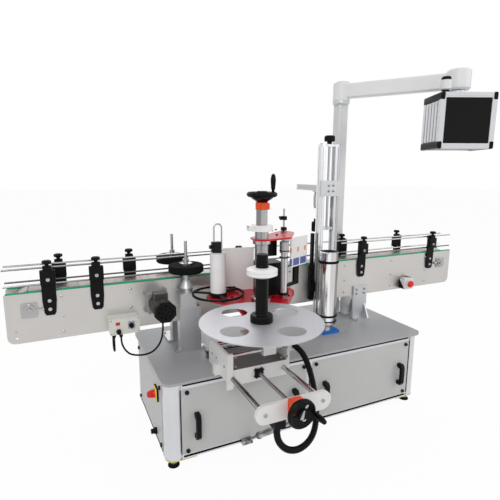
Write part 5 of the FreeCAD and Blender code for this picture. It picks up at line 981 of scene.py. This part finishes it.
# ------------------------------------------------------------------ operators
class LABELLER_OT_finishes(bpy.types.Operator):
    """Give every part its finish"""
    bl_idname = "labeller.finishes"
    bl_label = "Finishes"

    def execute(self, context):
        MADE.update(all_finishes(colours()))
        for name, nodes in PLAIN.items():
            for node in nodes.split():
                paint(node, MADE, (name,))
        for node, (names, chooser) in SPLIT.items():
            paint(node, MADE, names, chooser)
        return {"FINISHED"}


class LABELLER_OT_cords(bpy.types.Operator):
    """Replace the plain cables and the conduit with smooth ones"""
    bl_idname = "labeller.cords"
    bl_label = "Cables and conduit"

    def execute(self, context):
        motor = [(-0.651, 0.1045, 0.60099), (-0.651, 0.1045, 0.568), (-0.655, 0.1065, 0.535),
                 (-0.665, 0.1115, 0.503), (-0.682, 0.1185, 0.476), (-0.707, 0.1285, 0.457),
                 (-0.742, 0.1455, 0.447), (-0.778, 0.169, 0.447), (-0.7925, 0.1864, 0.4539),
                 (-0.8022, 0.1983, 0.465), (-0.8093, 0.207, 0.4804), (-0.813, 0.2115, 0.4985),
                 (-0.813, 0.2115, 0.521)]
        supply = [(-0.843, 0.2115, 0.521), (-0.843, 0.2115, 0.4813), (-0.8424, 0.2157, 0.4685),
                  (-0.8418, 0.2236, 0.4576), (-0.8412, 0.2345, 0.4497), (-0.8408, 0.2473, 0.4455),
                  (-0.8402, 0.2607, 0.4455), (-0.8398, 0.2735, 0.4497), (-0.8392, 0.2844, 0.4576),
                  (-0.8386, 0.2923, 0.4685), (-0.838, 0.2965, 0.4813), (-0.838, 0.2965, 0.551)]
        hose = [(-0.14, -0.1465, 0.5), (-0.14, -0.1925, 0.5), (-0.141, -0.2385, 0.48),
                (-0.144, -0.2785, 0.444), (-0.151, -0.3185, 0.396), (-0.162, -0.3545, 0.345),
                (-0.176, -0.3815, 0.298), (-0.199, -0.4015, 0.254), (-0.234, -0.4125, 0.226),
                (-0.279, -0.4175, 0.215), (-0.3241, -0.4185, 0.228), (-0.3557, -0.4185, 0.2599),
                (-0.373, -0.4185, 0.2987), (-0.373, -0.4185, 0.343)]
        for name, points, length, far_end in (("motor_lead", motor, 0.350, "object"),
                                              ("supply_lead", supply, 0.230, "object")):
            lead = route_curve(name, points, 0.008)
            lead.data.materials.append(MADE["rubber"])
            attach(lead, "frame")
            node = "motor_cable" if name == "motor_lead" else "control_box_cable"
            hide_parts(node)
        line, at = evenly(centreline("conduit", hose), 6 * 100)
        conduit = piece("ribbed_conduit", [ribbed_tube(line, at, 0.013, sizes().hose_pitch,
                                                       0.0022)],
                        MADE["black"], None, ("corrugated_hose",), 60.0)
        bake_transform(conduit)
        return {"FINISHED"}


class LABELLER_OT_cabinet_fittings(bpy.types.Operator):
    """Panel screws and black strips of painted shade in the profile slots"""
    bl_idname = "labeller.cabinet_fittings"
    bl_label = "Cabinet fittings"

    def execute(self, context):
        low, high = corners("cabinet_panels")
        radius, height = sizes().screw_radius, sizes().screw_height
        head = turned([(0.0, 0.0), (radius, 0.0), (radius, height * 0.8),
                       (radius * 0.88, height), (radius * 0.4, height),
                       (radius * 0.36, height * 0.6), (0.0, height * 0.6)], 20)
        rows = inset("cabinet_panels", 2, 0.014)
        parts = many(head, places((-0.600, -0.034, 0.034, 0.600), (low[1],), rows), FORWARD)
        parts += many(head, places((low[0],), inset("cabinet_panels", 1, 0.085), rows), LEFTWARD)
        piece("panel_screws", parts, MADE["gloss_black"], "frame")
        left, right = inset("base_frame", 0, 0.0)
        front, back = inset("base_frame", 1, 0.0)
        # Painted shade: thin black strips in the rail and upright profile slots stand in for the
        # shade inside the slots.
        points, quads = bar((0.0105, 0.0014, 1.236), 0.0005, 3, 0.0002)
        long_strip = points[:, [1, 0, 2]], quads
        side_strip = bar((0.0105, 0.0014, 0.476), 0.0005, 3, 0.0002)
        upright_slot_shade = bar((0.004, 0.0014, 0.293), 0.0004, 3, 0.0002)
        strips = []
        for z in (0.0510, 0.3760):
            for y in (front, back):
                strips.append(moved(long_strip, (0.0, y, z), RIGHTWARD, math.pi / 2.0))
            for x in (left, right):
                strips.append(moved(side_strip, (x, (front + back) / 2.0, z), FORWARD,
                                    math.pi / 2.0))
        across = (low[0] + 0.0645, 0.0, high[0] - 0.0645)
        strips += many(upright_slot_shade, places(across, (front - 0.0012, back + 0.0012),
                                    ((low[2] + high[2]) / 2.0,)))
        # Painted shade: these black strips stand in for the shade in the profile slots.
        piece("slot_strips", strips, MADE["rubber"], "frame")
        return {"FINISHED"}


class LABELLER_OT_conveyor_fittings(bpy.types.Operator):
    """Screws of the conveyor, its drive, its supports and the speed control box"""
    bl_idname = "labeller.conveyor_fittings"
    bl_label = "Conveyor fittings"

    def execute(self, context):
        front = corners("conveyor_front_plate")[0][1]
        back = corners("conveyor_back_plate")[1][1]
        radius = sizes().bolt_radius
        button = turned([(0.0, 0.0), (radius * 1.25, 0.0), (radius * 1.25, 0.0010),
                         (radius * 0.95, 0.0014), (radius * 0.90, 0.0030), (radius * 0.6, 0.0042),
                         (radius * 0.4, 0.0044), (radius * 0.36, 0.0026), (0.0, 0.0026)], 14)
        rows = (0.725, 0.640, 0.571)
        spots = places((-1.040, -0.760, -0.300, 0.060, 0.420, 0.760, 1.040), (front,), rows)
        behind_box = spots.pop(5)
        parts = many(button, spots, FORWARD)
        parts += many(button, [(x, back, z) for x, _, z in spots + [behind_box]], BACKWARD)
        parts += many(button, places((-1.162, 1.162), (0.2395,), (0.658, 0.702)), FORWARD)
        piece("conveyor_screws", parts, MADE["bright"], "frame")
        gearbox = places((-0.691, -0.611), (0.1845,), (0.622, 0.702))
        box = places(inset("control_box", 0, 0.0065), (0.1795,), inset("control_box", 2, 0.0065))
        top = corners("right_support")[1][2]
        support = places(inset("right_support", 0, 0.020), (0.2365,), (top - 0.045, top - 0.020))
        dark = many(screw_head(0.0055, 0.005), gearbox + support, FORWARD)
        dark += many(screw_head(0.0028, 0.0012), box, FORWARD)
        piece("drive_screws", dark, MADE["gear"], "frame")
        knob = np.add(*corners("selector_knob")) / 2.0
        plate = bar((0.030, 0.034, 0.0008), 0.002, 4, 0.0002)
        piece("dial_plate", [moved(plate, (knob[0], 0.1778, knob[2] + 0.002), FORWARD)],
              MADE["dial"], "frame")
        rod = turned([(0.0, 0.0), (0.004, 0.0), (0.004, 0.022), (0.0075, 0.022),
                      (0.0075, 0.028), (0.0035, 0.029), (0.0, 0.029)], 12)
        tension = [moved(rod, (-1.136, 0.2405, 0.680), RIGHTWARD),
                   moved(rod, (1.136, 0.2405, 0.680), LEFTWARD)]
        piece("tension_screws", tension, MADE["bright"], "frame")
        flange = (corners("hmi_post")[0][2] + 0.010,)
        feet = places(inset("right_support", 0, 0.014), (inset("right_support", 1, 0.014)[0],),
                      flange)
        feet += places(inset("left_support", 0, 0.0095), inset("left_support", 1, 0.030), flange)
        feet += places(inset("hmi_post", 0, 0.012), inset("hmi_post", 1, 0.012), flange)
        piece("foot_bolts", many(screw_head(0.0062, 0.006), feet), MADE["turned"], "frame")
        return {"FINISHED"}


class LABELLER_OT_guide_brackets(bpy.types.Operator):
    """Guide rail brackets: a tapered leg, a wide clamp block and a grip knob"""
    bl_idname = "labeller.guide_brackets"
    bl_label = "Guide rail brackets"

    def execute(self, context):
        low, high = corners("guide_brackets")
        rods_low, rods_high = corners("guide_rods")
        plate_front = corners("conveyor_front_plate")[0][1]
        plate_back = corners("conveyor_back_plate")[1][1]
        top = high[2] - 0.024
        leg = prism([(-0.015, low[2]), (0.015, low[2]), (0.022, low[2] + 0.010),
                     (0.027, low[2] + 0.060), (0.027, top - 0.072), (-0.027, top - 0.072),
                     (-0.027, low[2] + 0.060), (-0.022, low[2] + 0.010)], 0.008, 0.0012)
        block = bar((0.058, 0.027, 0.060), 0.005, 5, 0.002)
        riser = bar((0.034, 0.022, 0.040), 0.003, 5, 0.0015)
        jaw = bar((0.034, 0.016, 0.017), 0.003, 5, 0.0012)
        knob = lobed([(0.0, 0.0), (0.007, 0.0), (0.007, 0.006), (0.0135, 0.0085),
                      (0.0165, 0.0125), (0.0165, 0.019), (0.013, 0.023), (0.0, 0.024)], 6, 0.10,
                     36)
        screw = turned([(0.0, 0.0), (0.0075, 0.0), (0.0075, 0.0016), (0.0048, 0.002),
                        (0.0048, 0.006), (0.0, 0.0064)], 12)
        wing = bar((0.018, 0.0028, 0.007), 0.0012, 3, 0.0006)
        dark, bright = [], []
        rods = (rods_low[2] + ROD_RADIUS, rods_high[2] - ROD_RADIUS)
        rows = [(x, plate_front, -1.0, rods_low[1] + ROD_RADIUS) for x in FRONT_BRACKETS]
        rows += [(x, plate_back, 1.0, rods_high[1] - ROD_RADIUS) for x in REAR_BRACKETS]
        upright, quads = leg[0][:, [0, 2, 1]], leg[1][:, ::-1]
        for x, y, out, rod in rows:
            face = y + out * 0.0056
            middle = y + out * 0.0140
            grip = (rod + y + out * 0.006) / 2.0
            dark += [(upright + (x, face - 0.004, 0.0), quads),
                     moved(block, (x, middle, top - 0.048)),
                     moved(riser, (x, middle, top - 0.020)),
                     moved(knob, (x, y + out * 0.0170, top))]
            dark += many(jaw, [(x, grip, z) for z in rods])
            outward = (0.0, out, 0.0)
            bright += many(screw, [(x, y + out * 0.0090, low[2] + z) for z in (0.026, 0.062)],
                           outward)
            bright += [moved(screw, (x, y + out * 0.0268, top - 0.056), outward),
                       moved(wing, (x, y + out * 0.0315, top - 0.052), (0.35, 0.0, 1.0))]
        made = piece("bracket_forms", dark, MADE["black"], "frame", ("guide_brackets",))
        piece("bracket_screws", bright, MADE["bright"], "frame")
        return {"FINISHED"}


class LABELLER_OT_slide_fittings(bpy.types.Operator):
    """Screws of the cross slide and its end plate"""
    bl_idname = "labeller.slide_fittings"
    bl_label = "Cross slide fittings"

    def execute(self, context):
        spots = places(inset("slide_end_plate", 0, 0.036), (-0.4475,), (0.413,))
        piece("end_plate_screws", many(screw_head(0.0075, 0.0035, 20), spots, FORWARD),
              MADE["turned"], "frame")
        right, left, front, top = saddle_edges()
        head = screw_head(0.0045, 0.0035)
        parts = many(head, places((left + 0.014, left + 0.040, right - 0.040, right - 0.014),
                                  (front,), (top - 0.060, top - 0.020)), FORWARD)
        along = (front + 0.020, front + 0.110, front + 0.160)
        parts += many(head, places((right,), along, (top - 0.060,)), RIGHTWARD)
        parts += many(head, places((left,), along, (top - 0.060,)), LEFTWARD)
        piece("saddle_screws", parts, MADE["gear"], "cross_slide")
        return {"FINISHED"}


class LABELLER_OT_head_fittings(bpy.types.Operator):
    """Screws, sensor rod and clamp of the labelling head, and the rings of its rollers"""
    bl_idname = "labeller.head_fittings"
    bl_label = "Labelling head fittings"

    def execute(self, context):
        upper = corners("head_plate")[1][2]
        lower = corners("head_plate")[0][2] + 0.008
        head = screw_head(0.0055, 0.005)
        spots = [(-0.205, 0.020, upper), (-0.150, 0.010, upper), (-0.196, 0.078, upper),
                 (-0.150, 0.104, upper), (-0.110, 0.128, upper), (-0.076, 0.155, upper),
                 (-0.345, 0.060, lower), (-0.300, 0.105, lower), (-0.330, -0.060, lower),
                 (-0.385, -0.170, lower), (-0.345, -0.170, lower), (-0.180, -0.020, lower),
                 (-0.100, -0.020, lower), (-0.080, 0.030, lower)]
        piece("head_screws", many(head, spots), MADE["gloss_black"], "label_head")
        rod = turned([(0.0, 0.0), (0.0045, 0.0), (0.005, 0.0005), (0.005, 0.1065),
                      (0.0045, 0.107), (0.0, 0.107)], 16)
        x, y = -0.0550, 0.1150
        piece("sensor_rod", [moved(rod, (x, y, upper))], MADE["bright"], "label_head")
        holder = bar((0.022, 0.026, 0.018), 0.004, 5, 0.0015)
        eye = bar((0.012, 0.030, 0.010), 0.002, 4, 0.001)
        grip = lobed([(0.0, 0.0), (0.006, 0.0), (0.0085, 0.003), (0.0085, 0.010),
                      (0.0, 0.011)], 5, 0.10, 30)
        height = upper + 0.062
        parts = [moved(holder, (x, y, height)), moved(eye, (x, y + 0.0270, height)),
                 moved(holder, (x, y, upper + 0.010)),
                 moved(grip, (x - 0.0110, y, height), LEFTWARD)]
        piece("sensor_clamp", parts, MADE["black"], "label_head")
        for node, body in (("front_guide_roller", "front_roller"),
                           ("rear_guide_roller", "rear_roller")):
            top = corners(node)[1][2] - 0.0720
            spots = [(*axis_of(node), z) for z in (top, top - 0.030)]
            piece(node + "_rings", many(ring(0.0190, 0.0026), spots), MADE["rubber"], body)
        x, y = axis_of("rewind_reel")
        z = corners("rewind_reel")[1][2] - 0.1100
        clamp = [moved(bar((0.040, 0.024, 0.056), 0.004, 5, 0.0015), (x - 0.0090, y, z)),
                 moved(grip, (x - 0.0290, y, z + 0.006), LEFTWARD)]
        piece("mandrel_clamp", clamp, MADE["gloss_black"], "rewind")
        hub = corners("column_handwheel")[0][2] + 0.0885
        dish = turned([(0.0200, 0.004), (0.0210, 0.001), (0.0240, 0.002), (0.0420, 0.014),
                       (0.0545, 0.026), (0.0560, 0.030), (0.0530, 0.031), (0.0400, 0.020),
                       (0.0230, 0.009), (0.0200, 0.004)], 48)
        column = corners("column_stage")[0][0] + 0.064, -0.0465
        piece("wheel_dish", [moved(dish, (*column, hub))], MADE["gloss_black"], "height_screw")
        ear = places((-0.3210,), (-0.0580, -0.0465), (corners("head_sleeve")[1][2] - 0.0040,))
        piece("collar_screws", many(screw_head(0.0035, 0.003), ear), MADE["gear"], "label_head")
        return {"FINISHED"}


class LABELLER_OT_station_fittings(bpy.types.Operator):
    """Screws of the press carriage and the thick rings of the wrapping roller"""
    bl_idname = "labeller.station_fittings"
    bl_label = "Wrapping station fittings"

    def execute(self, context):
        low, high = corners("lift_carriage")
        x, _, z = (low + high) / 2.0
        spots = places((x - 0.014, x + 0.014), (low[1],), (z - 0.014, z + 0.014))
        piece("carriage_screws", many(screw_head(0.0052, 0.004), spots, FORWARD),
              MADE["gear"], "carriage")
        heights = corners("wrap_roller")[1][2] - 0.056, corners("wrap_roller")[0][2] + 0.060
        bands = many(ring(0.0490, 0.0034, 56), [(*axis_of("wrap_roller"), z) for z in heights])
        piece("wrap_rings", bands, MADE["rubber"], "wrap_spindle")
        low, high = corners("lift_column")
        top = places(inset("lift_column", 0, 0.012), (low[1] + 0.014,), (high[2],))
        piece("column_screws", many(screw_head(0.0050, 0.004), top), MADE["turned"], "frame")
        return {"FINISHED"}


class LABELLER_OT_panel_fittings(bpy.types.Operator):
    """Black corner bars and side ribs of the operator panel"""
    bl_idname = "labeller.panel_fittings"
    bl_label = "Operator panel fittings"

    def execute(self, context):
        half, front, back, tall = PANEL_HALF, PANEL_FRONT, PANEL_BACK, PANEL_TALL
        proud = 0.0015
        wide, high = 0.022, 0.036
        corner = bar((wide, high, back - front + 2.0 * proud), 0.006, 5, 0.003)
        x, z = half + proud - wide / 2.0, high / 2.0 - proud
        spots = places((-x, x), ((front + back) / 2.0,), (z, tall - z))
        piece("panel_corners", [from_panel(part) for part in many(corner, spots, FORWARD)],
              MADE["black"], "panel")
        rib = bar((0.0030, 0.024, tall - 2.0 * high + 0.002), 0.0012, 3, 0.0005)
        edge = bar((2.0 * (half - wide) + 0.004, 0.016, 0.0024), 0.003, 4, 0.0008)
        ribs = many(rib, places((-half, half), np.linspace(front + 0.015, back - 0.015, 6),
                                (tall / 2.0,)))
        ribs += many(edge, [(0.0, front, z) for z in (0.0085, tall - 0.0085)], FORWARD)
        piece("panel_ribs", [from_panel(part) for part in ribs], MADE["housing"], "panel")
        return {"FINISHED"}


CAMERA_PLACE = (-1.046, -1.6215, 1.238)
CAMERA_AHEAD = (0.41726, 0.89041, -0.18173)
CAMERA_RIGHT = (0.90549, -0.4243, 0.0)
CAMERA_ROLL = math.radians(0.28)
LENS = 30.32


class LABELLER_OT_stage(bpy.types.Operator):
    """Pale floor, soft lights and the camera"""
    bl_idname = "labeller.stage"
    bl_label = "Stage"

    def execute(self, context):
        floor_points = np.array([[[-30.0, -30.0, 0.0], [-30.0, 30.0, 0.0]],
                                 [[30.0, -30.0, 0.0], [30.0, 30.0, 0.0]]])
        points, quads = grid_mesh(floor_points)
        mesh = bpy.data.meshes.new("floor")
        mesh.from_pydata(points.tolist(), [], quads[:, ::-1].tolist())
        floor = linked("floor", mesh)
        f = Finish("floor_paper")
        seen = seen_ray(f)
        paper = f.node("ShaderNodeBsdfDiffuse", {},
                       f.blend(seen, (0.80, 0.80, 0.80), (1.0, 1.0, 1.0)))
        glow = f.node("ShaderNodeEmission", {}, WHITE, 1.0)
        mixed = f.node("ShaderNodeMixShader", {}, seen * 0.94, paper, glow)
        f.node("ShaderNodeOutputMaterial", {}, mixed)
        mesh.materials.append(f.material)
        world = bpy.data.worlds.new("studio")
        context.scene.world = world
        sky = Finish("studio", world)
        room = sky.node("ShaderNodeBackground", {}, WHITE, 0.62)
        white = sky.node("ShaderNodeBackground", {}, WHITE, 1.0)
        both = sky.node("ShaderNodeMixShader", {}, seen_ray(sky), room, white)
        sky.node("ShaderNodeOutputWorld", {}, both)
        for name, place, aim, size, power in (
                ("key", (-2.6, -3.4, 3.6), (0.0, 0.0, 0.6), 2.4, 70.0),
                ("fill", (3.4, -2.6, 2.4), (0.2, 0.0, 0.6), 2.8, 30.0),
                ("back", (0.8, 3.2, 3.4), (0.0, 0.0, 0.7), 2.4, 30.0)):
            light = bpy.data.lights.new(name, "AREA")
            light.shape = "DISK"
            light.size = size
            light.energy = power
            lamp = linked(name, light)
            lamp.location = place
            lamp.rotation_mode = "QUATERNION"
            lamp.rotation_quaternion = (Vector(aim) - Vector(place)).to_track_quat("-Z", "Y")
        eye = bpy.data.cameras.new("camera")
        eye.lens = LENS
        eye.sensor_width = 36.0
        eye.clip_end = 100.0
        camera = linked("camera", eye)
        ahead, right = Vector(CAMERA_AHEAD), Vector(CAMERA_RIGHT)
        up = right.cross(ahead)
        tilted = right * math.cos(CAMERA_ROLL) + up * math.sin(CAMERA_ROLL)
        turn = Matrix((tilted, tilted.cross(ahead), -ahead)).transposed()
        camera.matrix_world = Matrix.Translation(CAMERA_PLACE) @ turn.to_4x4()
        context.scene.camera = camera
        context.scene.view_settings.view_transform = "Standard"
        return {"FINISHED"}


class LABELLER_PT_panel(bpy.types.Panel):
    """Lists the steps that dress the machine"""
    bl_label = "Labelling machine"
    bl_idname = "LABELLER_PT_panel"
    bl_space_type = "VIEW_3D"
    bl_region_type = "UI"
    bl_category = "Labeller"

    def draw(self, context):
        for step in STEPS:
            self.layout.operator(step.bl_idname)
        for group in (context.scene.labeller_colours, context.scene.labeller_sizes):
            for key in group.__class__.__annotations__:
                self.layout.prop(group, key)


STEPS = (LABELLER_OT_finishes, LABELLER_OT_cords, LABELLER_OT_cabinet_fittings,
         LABELLER_OT_conveyor_fittings, LABELLER_OT_guide_brackets, LABELLER_OT_slide_fittings,
         LABELLER_OT_head_fittings, LABELLER_OT_station_fittings, LABELLER_OT_panel_fittings,
         LABELLER_OT_stage)
CLASSES = (LabellerColours, LabellerSizes, *STEPS, LABELLER_PT_panel)


def register():
    for item in CLASSES:
        bpy.utils.register_class(item)
    bpy.types.Scene.labeller_colours = PointerProperty(type=LabellerColours)
    bpy.types.Scene.labeller_sizes = PointerProperty(type=LabellerSizes)


def unregister():
    del bpy.types.Scene.labeller_sizes
    del bpy.types.Scene.labeller_colours
    for item in reversed(CLASSES):
        bpy.utils.unregister_class(item)


def main():
    for thing in list(bpy.data.objects):
        if thing.type in ("LIGHT", "CAMERA"):
            bpy.data.objects.remove(thing)
    register()
    for step in STEPS:
        space, name = step.bl_idname.split(".")
        getattr(getattr(bpy.ops, space), name)()


if __name__ == "__main__":
    main()
